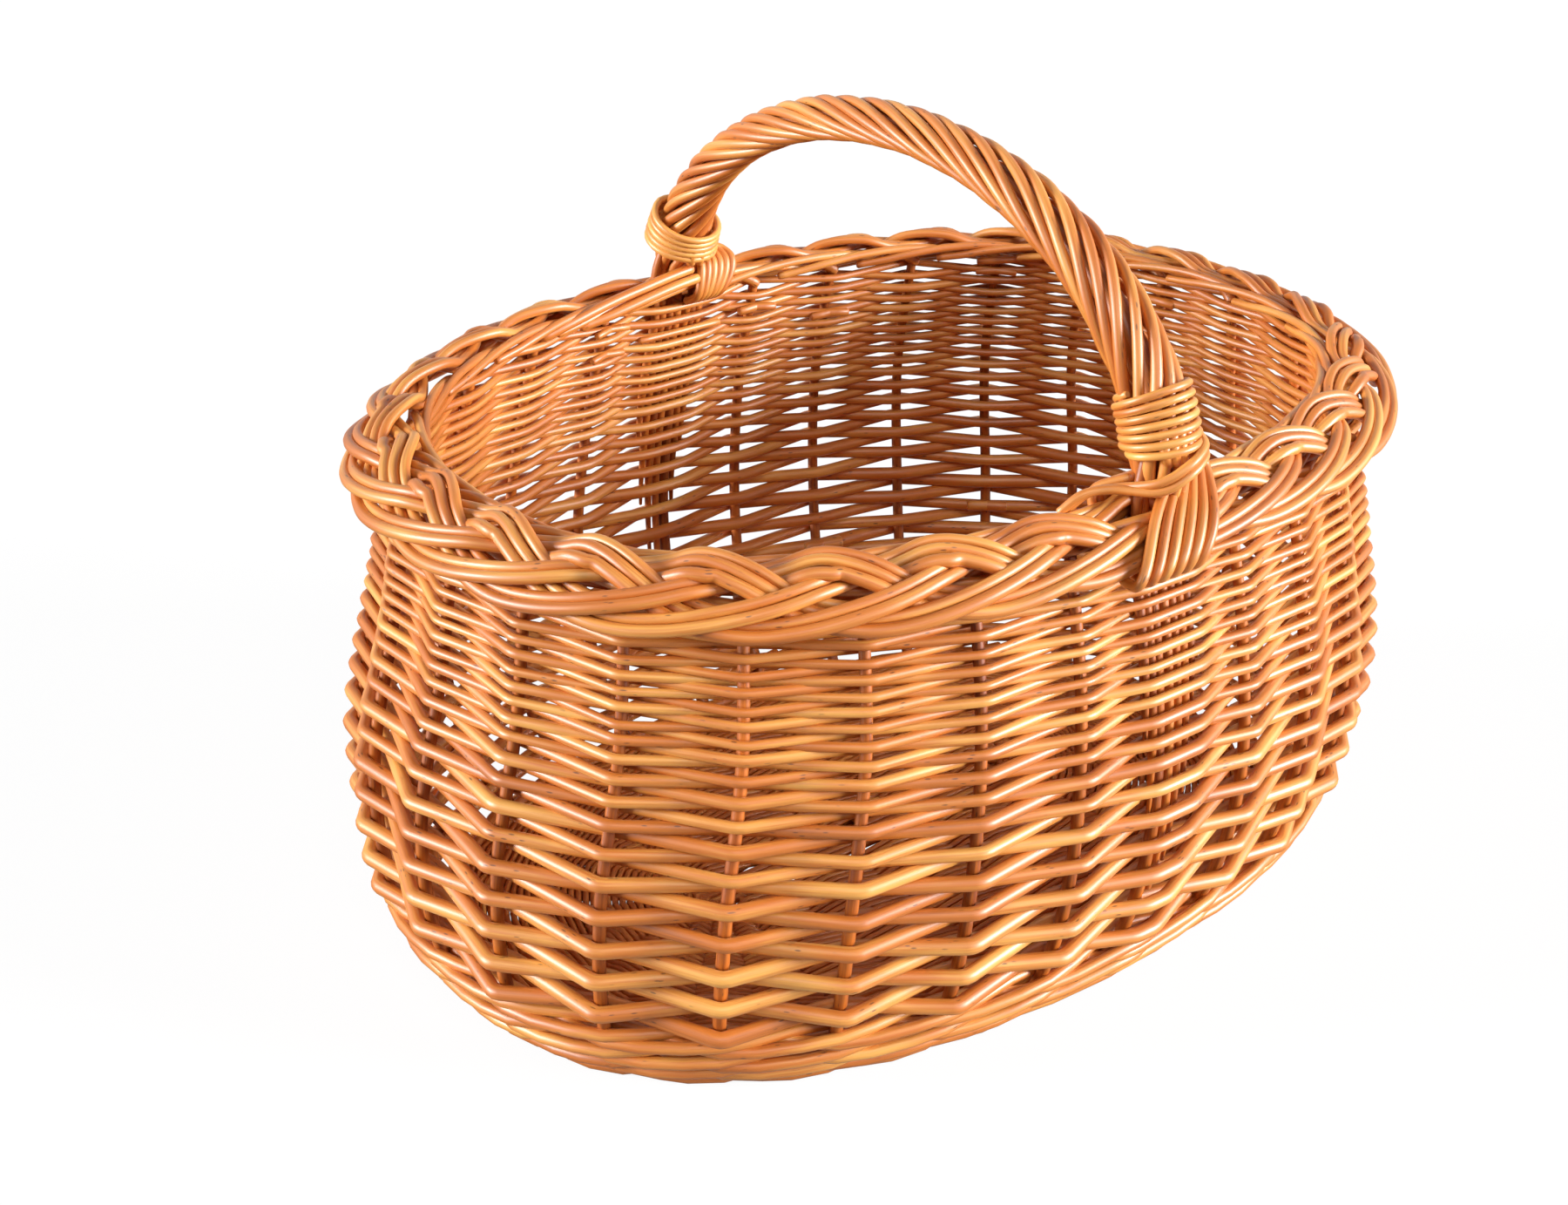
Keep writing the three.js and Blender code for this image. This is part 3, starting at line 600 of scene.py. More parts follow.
def weave_corners(wall, weave, steps, sides, height, radius, bends):
    """Corners of a weaver at each stake that it passes: outside where its side is 1, inside at -1.

    The bends are how far a corner is rounded off outside and inside."""
    corners, reaches, radii = [], [], []
    for step, side in zip(steps, sides):
        z = height(step)
        thick = radius(step)
        turns = [step / STAKES]
        if step % STAKES in HANDLE_STAKES:
            shift = group_half_width(z) / wall.round
            turns = [step / STAKES - shift, step / STAKES + shift]
        for turn in turns:
            away = stake_radius(weave, wall, z) + thick + weave.clearance
            corners.append(wall.point(turn, z) + wall.out(turn, z) * side * away)
            reaches.append(bends[0] if side > 0 else bends[1])
            radii.append(thick)
    return np.array(corners), np.array(reaches), np.array(radii)


def weaver_rod(corners, reaches, radii, tint, overshoot):
    """A rod through its corners. Its ends run on straight past the last stake, in the basket."""
    first = corners[0] + unit(corners[0] - corners[1]) * overshoot
    last = corners[-1] + unit(corners[-1] - corners[-2]) * overshoot
    corners = np.concatenate([[first], corners, [last]])
    points = rounded(corners, np.concatenate([[0], reaches, [0]]))
    # Each corner has become three points.
    radii = np.concatenate([radii[:1], np.repeat(radii, 3), radii[-1:]])
    return rod(points, radii, tint)


def lay_in_rods(rng, total, mean, spread):
    """First and last step of each rod that a weaver is pieced together from."""
    cuts = [0]
    while cuts[-1] < total:
        cuts.append(cuts[-1] + mean + int(rng.integers(-spread, spread + 1)))
    cuts[-1] = total
    return list(zip(cuts[:-1], cuts[1:]))


class BASKET_OT_add_stakes(bpy.types.Operator):
    """Stakes: upright rods that bend with the wall, thick end down"""

    bl_idname = "basket.add_stakes"
    bl_label = "Stakes"

    SEED = 28
    STEPS = 34
    FOOT = 3.2 * MM
    STRAY = 0.5 * MM
    TINTS = (0.35, 1.0)
    # Under the bow a stake stands beside the leg, not in its place.
    LEG_BESIDE = 5.45 * MM

    def execute(self, context):
        settings = context.scene.basket
        wall, weave = Wall(settings.wall), settings.weave
        rng = np.random.default_rng(self.SEED)
        heights = np.linspace(self.FOOT, weave.stake_top, self.STEPS)
        radii = stake_radius(weave, wall, heights)
        rods = []
        for k in range(STAKES):
            beside = self.LEG_BESIDE / wall.round if k in HANDLE_STAKES else 0
            stray = rng.normal(0, self.STRAY) / wall.round
            turns = k / STAKES - beside + stray * np.sin(heights / weave.stake_top * math.pi)
            rods.append(rod(wall.point(turns, heights), radii, rng.uniform(*self.TINTS)))
        add_piece(
            context, "stakes", rods, "stakes", nodes_like("stake_"),
            seed=1, wobble=0.4 * MM, wobble_length=60 * MM,
        )
        return {"FINISHED"}


class BASKET_OT_add_foot_wale(bpy.types.Operator):
    """Foot wale: three rods at a time, outside two stakes and inside the next, in four rounds"""

    bl_idname = "basket.add_foot_wale"
    bl_label = "Foot wale"

    SEED = 3
    STROKE = 3
    ROUNDS = 4
    START = 10
    # Each round lies level, and climbs to the next one near its end.
    STEP_UP = 6.0
    ROD_STAKES = (30, 4)
    BENDS = (14 * MM, 14 * MM)
    OVERSHOOT = 8 * MM
    BUTT_AND_TIP = (1.06, 0.92)
    TINTS = (0.1, 0.9)
    # The rods are pressed so far off the table at least.
    OFF_TABLE = 0.6 * MM

    def side(self, step, strand):
        """Inside at the last stake of a stroke, and else outside."""
        return -1 if (step - strand) % self.STROKE == self.STROKE - 1 else 1

    def execute(self, context):
        settings = context.scene.basket
        wall, weave = Wall(settings.wall), settings.weave
        rng = np.random.default_rng(self.SEED)
        stroke_heights = (0.0, weave.wale_rise, 0.5 * weave.wale_rise)
        rods = []
        for strand in range(self.STROKE):

            def height(step):
                travelled = (step - self.START) / STAKES
                lap = math.floor(travelled)
                climb = lap + (travelled - lap) ** self.STEP_UP
                level = weave.wale_foot + weave.wale_round * climb
                return level + stroke_heights[(step - strand) % self.STROKE]

            for first, last in lay_in_rods(rng, self.ROUNDS * STAKES, *self.ROD_STAKES):
                first, last = first + self.START, last + self.START
                # Both ends of a rod lie inside the basket.
                while self.side(first, strand) > 0:
                    first -= 1
                while self.side(last, strand) > 0:
                    last += 1
                steps = range(first, last + 1)
                sides = [self.side(step, strand) for step in steps]
                corners, reaches, radii = weave_corners(
                    wall, weave, steps, sides, height, lambda step: weave.wale_radius, self.BENDS
                )
                radii = radii * taper(len(radii), self.BUTT_AND_TIP)
                tint = rng.uniform(*self.TINTS)
                wale_rod = weaver_rod(corners, reaches, radii, tint, self.OVERSHOOT)
                lowest = wale_rod["radii"] + self.OFF_TABLE
                wale_rod["points"][:, 2] = np.maximum(wale_rod["points"][:, 2], lowest)
                rods.append(wale_rod)
        nodes = nodes_like("foot_wale_rod_")
        add_piece(context, "foot_wale", rods, "wale", nodes, seed=2)
        return {"FINISHED"}


class BASKET_OT_add_siding(bpy.types.Operator):
    """Siding: two weavers that chase each other, each outside one stake and inside the next"""

    bl_idname = "basket.add_siding"
    bl_label = "Siding"

    SEED = 100
    START = 10
    THINNING_ROWS = 27
    # How level the lowest and the highest laps lie, from the outermost one inwards.
    LEVELLING = (5.0, 3.0, 2.0, 1.5, 1.2)
    ROD_STAKES = (26, 4)
    BENDS = (2.4 * MM, 5.5 * MM)
    OVERSHOOT = 9 * MM
    BUTT_AND_TIP = (1.08, 0.9)
    TINTS = (0, 1)
    # A weaver is a little thicker or thinner from stake to stake.
    SWELL = (0.96, 1.05)
    # A rod's end may pass the last lap by a few stakes.
    SPARE = 8

    def rise(self, weave, row):
        """Height of a row over the lowest: the pitch shrinks over the thinning rows."""
        share = np.clip(row / self.THINNING_ROWS, 0, 1)
        thinned = self.THINNING_ROWS * (share**3 - share**4 / 2) + max(row - self.THINNING_ROWS, 0)
        return weave.foot_pitch * row - (weave.foot_pitch - weave.top_pitch) * thinned

    def row_count(self, weave):
        """Rows up to the siding's top, an even number."""
        rows = 0
        while self.rise(weave, rows + 2) < weave.siding_top - weave.siding_foot:
            rows += 2
        return rows

    def climb(self, travelled, laps):
        """Laps climbed after so many laps travelled. The first and last laps lie nearly level."""
        lap = min(math.floor(travelled), laps - 1)
        share = travelled - lap
        from_foot, from_top = (
            self.LEVELLING[n] if n < len(self.LEVELLING) else 1.0 for n in (lap, laps - 1 - lap)
        )
        return lap + (share**from_foot if from_foot > 1 else 1 - (1 - share) ** from_top)

    def execute(self, context):
        settings = context.scene.basket
        wall, weave = Wall(settings.wall), settings.weave
        laps = self.row_count(weave) // 2
        total = laps * STAKES
        for weaver, letter in enumerate("ab"):
            rng = np.random.default_rng(self.SEED + weaver)
            strays = rng.normal(0, weave.unevenness, total + self.SPARE)
            swell = rng.uniform(*self.SWELL, total + self.SPARE)

            def row_at(step):
                return 2 * self.climb((step - self.START) / STAKES, laps) + weaver

            def height(step):
                rise = self.rise(weave, row_at(step))
                return weave.siding_foot + rise + strays[step - self.START]

            def radius(step):
                thinned = eased(np.clip(row_at(step) / self.THINNING_ROWS, 0, 1))
                loss = (weave.weaver_butt_radius - weave.weaver_tip_radius) * thinned
                return (weave.weaver_butt_radius - loss) * swell[step - self.START]

            rods = []
            for i, (first, last) in enumerate(lay_in_rods(rng, total, *self.ROD_STAKES)):
                steps = list(range(self.START + first, self.START + last + 1))
                sides = [1 if (step + weaver) % 2 == 0 else -1 for step in steps]
                # Both ends of a rod lie inside the basket.
                if sides[0] > 0:
                    steps, sides = steps[1:], sides[1:]
                if sides[-1] > 0 and last < total:
                    steps.append(steps[-1] + 1)
                    sides.append(-1)
                corners, reaches, radii = weave_corners(
                    wall, weave, steps, sides, height, radius, self.BENDS
                )
                # Rods are laid in butt to butt and tip to tip.
                radii = radii * taper(len(radii), self.BUTT_AND_TIP, tip_first=i % 2 == 0)
                tint = rng.uniform(*self.TINTS)
                rods.append(weaver_rod(corners, reaches, radii, tint, self.OVERSHOOT))
            add_piece(
                context, f"siding_weaver_{letter}", rods, "siding",
                nodes_like(f"siding_rod_{letter}"), seed=3 + weaver, wobble=0.7 * MM,
            )
        return {"FINISHED"}


class Plait:
    """The border's own frame: across runs out and down, over runs up and out."""

    # Stake spacings to where a stake's own tip first lies at the inner edge, and from there to
    # the next time: as many as there are strands.
    CREST = 0.516
    STRANDS = 4
    # A strand drops quickly from the inner edge, and takes longer along the outer one.
    STEEPNESS = 0.3
    LEAD = 0.15
    # It stays over or under for long, and changes quickly.
    FLATNESS = 1.3
    MIDDLE = 0.2 * MM
    # From here the inner part of the plait curls down into the basket.
    CURL_START = 4 * MM
    CURL_RADIUS = 20 * MM
    # The plait is narrower beside the bow.
    NARROWING = 0.2
    NARROW_LENGTH = 70 * MM
    # Where the bow's uprights come up through the plait, across it from its middle, how far its
    # rods give way to them, and how far along and across that is felt.
    UPRIGHTS_ACROSS = -8.0 * MM
    UPRIGHTS_ROOM = 5.6 * MM
    UPRIGHTS_HALF = 15 * MM
    UPRIGHTS_FADE = 22 * MM
    UPRIGHTS_REACH = 14 * MM

    def __init__(self, wall, sizes):
        self.wall = wall
        self.sizes = sizes

    def place(self, turn, across, over):
        """A point at straight distances across and over the middle."""
        wall, tilt = self.wall, self.sizes.tilt
        middle = wall.point(turn, wall.rim, -self.sizes.overhang)
        up = np.array([0.0, 0.0, 1.0])
        out = np.cross(unit(wall.along(turn, wall.rim) * (1 - up)), up)
        across_way = out * math.cos(tilt) - up * math.sin(tilt)
        over_way = out * math.sin(tilt) + up * math.cos(tilt)
        across, over = (np.asarray(value)[..., None] for value in (across, over))
        return middle + across_way * across + over_way * over

    def point(self, turn, across, over):
        """A point of the curled plait, which gives way to the uprights of the bow."""
        turn, across, over = (np.asarray(value, float) for value in (turn, across, over))
        for k in HANDLE_STAKES:
            offset = turn - k / STAKES
            away = np.abs(offset - np.round(offset)) * self.wall.round
            near = np.clip(1 - (away - self.UPRIGHTS_HALF) / self.UPRIGHTS_FADE, 0, 1)
            room = self.UPRIGHTS_ROOM * eased(near)
            past = across - self.UPRIGHTS_ACROSS
            pushed = np.sign(past) * np.sqrt(past**2 + room**2) - past
            across = across + pushed * dip(past, self.UPRIGHTS_REACH)
            across = across * (1 - self.NARROWING * dip(away, self.NARROW_LENGTH))
        bend = np.maximum(-across - self.CURL_START, 0) / self.CURL_RADIUS
        flat = np.maximum(across, -self.CURL_START)
        across = flat - (self.CURL_RADIUS + over) * np.sin(bend)
        over = (self.CURL_RADIUS + over) * np.cos(bend) - self.CURL_RADIUS
        return self.place(turn, across, over)

    def strand(self, s, ahead):
        """Stake spacings travelled and place in the strand, to along-shift, across and over."""
        sizes = self.sizes
        phase = math.tau * (s - self.CREST) / self.STRANDS
        swung = phase + self.STEEPNESS * np.sin(phase) + self.LEAD * (1 - np.cos(phase))
        rate = 1 + self.STEEPNESS * np.cos(phase) + self.LEAD * np.sin(phase)
        rate = rate * math.tau / self.STRANDS / self.wall.spacing
        slope = sizes.swing * np.sin(swung) * rate
        steep = np.sqrt(1 + slope**2)
        lateral = ahead * sizes.rod_spacing
        across = self.MIDDLE - sizes.swing * np.cos(swung) + lateral / steep
        # Going out it passes over one strand and under two, and coming back over two and under one.
        weave = np.sin(2 * phase) + 0.5 * (np.sin(3 * phase) - np.sin(phase))
        over = sizes.depth * np.tanh(self.FLATNESS * weave) / math.tanh(self.FLATNESS)
        return -lateral * slope / steep, across, over


class BASKET_OT_add_border(bpy.types.Operator):
    """Border: each stake's tip is laid down to the right and plaited with its neighbours"""

    bl_idname = "basket.add_border"
    bl_label = "Plaited border"

    SEED = 11
    # Stake spacings to where a rod is kinked over the inner edge, starts and ends in the plait.
    KINK = 0.75
    START = 0.85
    RUN = 9.95
    STEP = 0.12
    # A new rod lies one rod spacing ahead of its strand's middle, and drops behind it as others
    # join, at most so far. Rods stray a little from these places, and up or down.
    BEHIND = -1.3
    STRAY = 0.03
    LIFT = 0.15 * MM
    THICKNESS = (0.95, 1.05)
    TINTS = (0, 0.9)
    # The tips come back along the inner edge: spacings travelled, and across and over in mm.
    TIP = (
        (11.5, -12, -7),
        (11.75, -16, -4.5),
        (12.0, -18.2, -2.6),
        (12.35, -19.4, -1.9),
        (12.8, -20.7, -2.4),
        (13.2, -21.9, -3.8),
        (13.5, -21.5, -6),
        (13.8, -19, -8),
    )
    TIP_TAPER = (0.98, 0.86)
    # Two rods are cut off inside the far leg of the bow: along from it, across and over in mm.
    LEG_ENDS = (
        (
            (1, -21.5, -1.5),
            (12, -21.5, -2.5),
            (30, -20.5, -4.5),
            (52, -19.5, -6.5),
            (76, -16.0, -9.0),
            (92, -11.0, -10.0),
        ),
        (
            (0, -22.0, -6.2),
            (12, -21.5, -7.2),
            (30, -20.0, -9.2),
            (50, -17.0, -11.0),
            (68, -12.0, -11.5),
        ),
    )
    LEG_END_THICKNESS = 1.12
    LEG_END_TINTS = (0, 0.5)

    def head(self, plait):
        """From under the plait up to the kink: spacings travelled, and across and over in mm."""
        top = plait.sizes.depth / MM
        return np.array([
            [0.00, -4.0, -10.0],
            [0.12, -4.6, -6.8],
            [0.30, -5.2, -3.4],
            [0.44, -5.4, -0.6],
            [0.56, -5.4, top - 0.3],
            [0.66, -5.2, top + 0.6],
            [self.KINK, -4.7, top + 0.8],
        ]).T

    def leg_ends(self, plait, rng):
        """The cut rods inside the far leg."""
        rods = []
        for ways in self.LEG_ENDS:
            away, across, over = smooth(np.array(ways) * MM, steps=5).T
            points = plait.place(0.5 + away / plait.wall.round, across, over)
            radius = plait.sizes.tip_radius * self.LEG_END_THICKNESS
            rods.append(rod(points, radius, rng.uniform(*self.LEG_END_TINTS)))
        return rods

    def execute(self, context):
        settings = context.scene.basket
        sizes = settings.border
        plait = Plait(Wall(settings.wall), sizes)
        rng = np.random.default_rng(self.SEED)
        head_way, head_across, head_over = self.head(plait)
        tip_way, tip_across, tip_over = smooth(np.array(self.TIP), steps=5).T
        s = np.arange(self.START, self.RUN, self.STEP)
        rods = []
        for k in range(STAKES):
            ahead = np.clip(1 - (s - self.KINK) / plait.STRANDS, self.BEHIND, 1)
            shift, across, over = plait.strand(s, ahead + rng.normal(0, self.STRAY))
            lift = rng.normal(0, self.LIFT)
            turns = (k + np.concatenate([head_way, s + shift / plait.wall.spacing])) / STAKES
            across = np.concatenate([head_across * MM, across])
            over = np.concatenate([head_over * MM, over + lift])
            points = smooth(plait.point(turns, across, over), steps=2)
            radii = np.linspace(sizes.butt_radius, sizes.tip_radius, len(points))
            radii = radii * rng.uniform(*self.THICKNESS)
            tint = rng.uniform(*self.TINTS)
            rods.append(rod(points, radii, tint))
            points = plait.point((k + tip_way) / STAKES, tip_across * MM, tip_over * MM + lift)
            radii = sizes.tip_radius * taper(len(points), self.TIP_TAPER)
            rods.append(rod(points, radii, tint))
        rods += self.leg_ends(plait, rng)
        nodes = nodes_like("border_strand_")
        add_piece(
            context, "border_plait", rods, "border", nodes, seed=7, sides=12
        )
        return {"FINISHED"}


class BASKET_OT_add_base(bpy.types.Operator):
    """Base: an oval of sticks, woven in pairs of thin rods from the middle to the edge"""

    bl_idname = "basket.add_base"
    bl_label = "Woven base"

    SEED = 5
    MIDDLE = 4.95 * MM
    STICK_RADIUS = 1.75 * MM
    WEAVER_RADIUS = 1.35 * MM
    CLEARANCE = 0.05 * MM
    EDGE_INSET = 2.4 * MM
    # The sticks end round the middle ones, and run on a little past the first round.
    SLOT_HALF = 82 * MM
    SLOT_RADIUS = 8 * MM
    STICK_START = -0.01
    STICK_STEPS = 5
    # The middle sticks: their places side by side, in radii, and how far they pass the slot.
    MIDDLE_ROWS = (-3.375, -1.125, 1.125, 3.375)
    MIDDLE_PAST = 12 * MM
    MIDDLE_STEPS = 9
    ROUNDS = 34
    FIRST_ROUND = 0.015
    ROD_STAKES = 57
    THICKNESS = (0.94, 1.06)
    STICK_TINTS = (0.3, 0.9)
    MIDDLE_TINTS = (0.2, 0.8)
    WEAVER_TINTS = (0, 1)

    def spoke(self, wall, turn, share):
        """A place on the base, from the middle slot at share 0 to the edge at 1."""
        edge = wall.point(turn, self.MIDDLE, wall.inset + self.EDGE_INSET)
        inner = edge * [1, 0, 1]
        inner[..., 0] = np.clip(inner[..., 0], -self.SLOT_HALF, self.SLOT_HALF)
        inner = inner + unit(edge - inner) * self.SLOT_RADIUS
        return inner + (edge - inner) * share[..., None]

    def execute(self, context):
        wall = Wall(context.scene.basket.wall)
        rng = np.random.default_rng(self.SEED)
        rods = []
        for k in range(STAKES):
            shares = np.linspace(self.STICK_START, 1, self.STICK_STEPS)
            points = self.spoke(wall, np.full(len(shares), k / STAKES), shares)
            rods.append(rod(points, self.STICK_RADIUS, rng.uniform(*self.STICK_TINTS)))
        reach = self.SLOT_HALF + self.MIDDLE_PAST
        for row in self.MIDDLE_ROWS:
            y = row * self.STICK_RADIUS
            points = [(x, y, self.MIDDLE) for x in np.linspace(-reach, reach, self.MIDDLE_STEPS)]
            rods.append(rod(points, self.STICK_RADIUS, rng.uniform(*self.MIDDLE_TINTS)))
        over = self.STICK_RADIUS + self.WEAVER_RADIUS + self.CLEARANCE
        steps = np.arange(0, self.ROUNDS * STAKES + 1)
        shares = self.FIRST_ROUND + (1 - self.FIRST_ROUND) * steps / steps[-1]
        starts = range(0, steps[-1], self.ROD_STAKES)
        for side in (1, -1):
            points = self.spoke(wall, steps / STAKES, shares)
            points[:, 2] += side * over * np.where(steps % 2 == 0, 1, -1)
            for start in starts:
                part = smooth(points[start : start + self.ROD_STAKES + 1], steps=3)
                part[:, 2] = np.clip(part[:, 2], self.MIDDLE - over, self.MIDDLE + over)
                radius = self.WEAVER_RADIUS * rng.uniform(*self.THICKNESS)
                rods.append(rod(part, radius, rng.uniform(*self.WEAVER_TINTS)))
        add_piece(
            context, "base_weave", rods, "base", ["base_floor"],
            seed=9, sides=8, wobble=0.3 * MM,
        )
        return {"FINISHED"}


class Bow:
    """The bow's centreline, by share from the near spring line to the far one."""

    # Outer radius of the roping in mm at shares of the bow: full at the near foot, slim over
    # the crown. Its corners are eased over a reach to both sides.
    OUTER = (
        (0.0, 12.2),
        (0.2, 11.9),
        (0.36, 10.2),
        (0.5, 9.0),
        (0.75, 8.7),
        (0.87, 10.6),
        (0.94, 11.9),
        (1.0, 12.2),
    )
    OUTER_REACH = 0.04
    WAY_STEP = 0.002

    def __init__(self, sizes):
        self.sizes = sizes

    def point(self, share):
        """A point of the centreline."""
        s = self.sizes
        angle = math.pi * np.asarray(share, float)
        fuller = s.lean * np.sin(2 * angle)
        y = -(s.half_span + fuller) * np.cos(angle)
        z = s.spring_height + (s.crown_height - s.spring_height + fuller) * np.sin(angle)
        return np.stack([np.zeros_like(y), y, z], axis=-1)

    def way(self, share):
        """Direction of the centreline."""
        return unit(self.point(share + self.WAY_STEP) - self.point(share - self.WAY_STEP))

    def outer(self, share):
        """Outer radius of the roping."""
        shares, radii = np.array(self.OUTER).T
        before, here, after = (
            np.interp(share + shift, shares, radii * MM)
            for shift in (-self.OUTER_REACH, 0, self.OUTER_REACH)
        )
        return 0.25 * before + 0.5 * here + 0.25 * after

    def beside(self, share, angle, distance):
        """A point beside the centreline, at an angle from +X towards the way's left."""
        sideways = np.array([1.0, 0.0, 0.0])
        lifted = np.cross(self.way(share), sideways)
        offset = sideways * np.cos(angle)[..., None] + lifted * np.sin(angle)[..., None]
        return self.point(share) + offset * np.asarray(distance)[..., None]


class BASKET_OT_add_handle(bpy.types.Operator):
    """Bow handle: a core stick with ten rods roped round it"""

    bl_idname = "basket.add_handle"
    bl_label = "Bow handle"

    SEED = 21
    ROPE_RODS = 10
    TURNS = 2.75
    # The roping starts at this share of the bow from each end.
    FOOT = 0.012
    STEPS = 132
    TABLE_STEPS = 400
    BUTT_AND_TIP = (1.06, 0.92)
    # The roping turns slowly over the near leg and a little slower at the far foot: how much
    # slower, and over what share of the bow.
    SLOW_NEAR = (0.72, 0.17)
    SLOW_FAR = (0.25, 0.1)
    # The bindings gather it in at both feet.
    GATHERED = (0.34, 0.035)
    # The roping is slimmest at the crown, and this power keeps it slim towards the feet.
    SLIMMING = 0.7
    # How far a rod strays round and off the bow, in radians and in shares of its distance, and
    # how quickly it does so along the bow.
    STRAY_START = 0.03
    STRAY_ROUND = (0.05, 23)
    STRAY_OUT = (0.02, 31)
    TINTS = (0.05, 0.95)
    CORE_TINT = 0.7
    # The core's legs run down inside the weave, and taper: heights and radii.
    LEG_HEIGHTS = (62 * MM, 200 * MM)
    LEG_RADII = (1.5 * MM, 2.2 * MM)
    LEG_STEPS = 14
    ARCH_STEPS = 60
    ARCH_SHARES = (0, 0.04, 0.5, 0.96, 1)
    ARCH_RADII = (2.6 * MM, 5 * MM, 4.6 * MM, 5 * MM, 2.6 * MM)

    def twist(self, share):
        """How far the roping has turned: slowly over the near leg, and then at a steady rate."""
        grid = np.linspace(0, 1, self.TABLE_STEPS)
        (near, near_reach), (far, far_reach) = self.SLOW_NEAR, self.SLOW_FAR
        rate = 1 - near * dip(grid, near_reach) - far * dip(1 - grid, far_reach)
        turned = np.cumsum(0.5 * (rate[1:] + rate[:-1]) * np.diff(grid))
        turned = np.concatenate([[0], turned])
        return np.interp(share, grid, turned / turned[-1]) * self.TURNS

    def roping(self, bow, sizes, rng):
        """The rods of the roping."""
        shares = np.linspace(self.FOOT, 1 - self.FOOT, self.STEPS)
        slim = np.sin(math.pi * shares) ** self.SLIMMING
        rope = sizes.rope_foot_radius + (sizes.rope_crown_radius - sizes.rope_foot_radius) * slim
        gathered, reach = self.GATHERED
        gather = 1 - gathered * (dip(shares, reach) + dip(1 - shares, reach))
        ring = (bow.outer(shares) - rope) * gather
        rods = []
        for i in range(self.ROPE_RODS):
            angle = math.tau * (i / self.ROPE_RODS + self.twist(shares))
            angle += rng.normal(0, self.STRAY_START)
            round_way, out = (
                most * np.sin(shares * quickness + rng.uniform(0, math.tau))
                for most, quickness in (self.STRAY_ROUND, self.STRAY_OUT)
            )
            points = bow.beside(shares, angle + round_way, ring * (1 + out))
            radii = rope * taper(len(shares), self.BUTT_AND_TIP, tip_first=i % 2 == 0)
            rods.append(rod(points, radii, rng.uniform(*self.TINTS)))
        return rods

    def core(self, bow, wall):
        """The core stick, from one leg over the bow to the other."""
        heights = np.linspace(*self.LEG_HEIGHTS, self.LEG_STEPS)
        arch = np.linspace(0, 1, self.ARCH_STEPS)
        near, far = wall.point(0, heights), wall.point(0.5, heights)[::-1]
        leg = np.linspace(*self.LEG_RADII, self.LEG_STEPS)
        radii = [leg, np.interp(arch, self.ARCH_SHARES, self.ARCH_RADII), leg[::-1]]
        points = np.concatenate([near, bow.point(arch), far])
        return rod(points, np.concatenate(radii), self.CORE_TINT)

    def execute(self, context):
        settings = context.scene.basket
        bow = Bow(settings.handle)
        roping = self.roping(bow, settings.handle, np.random.default_rng(self.SEED))
        add_piece(
            context, "handle_roping", roping, "handle",
            nodes_like("handle_rope_rod_"), seed=12, sides=12, wobble=0.3 * MM,
        )
        core = [self.core(bow, Wall(settings.wall))]
        add_piece(
            context, "handle_core_stick", core, "handle", ["handle_core"],
            seed=13, sides=12, wobble=0.0,
        )
        return {"FINISHED"}


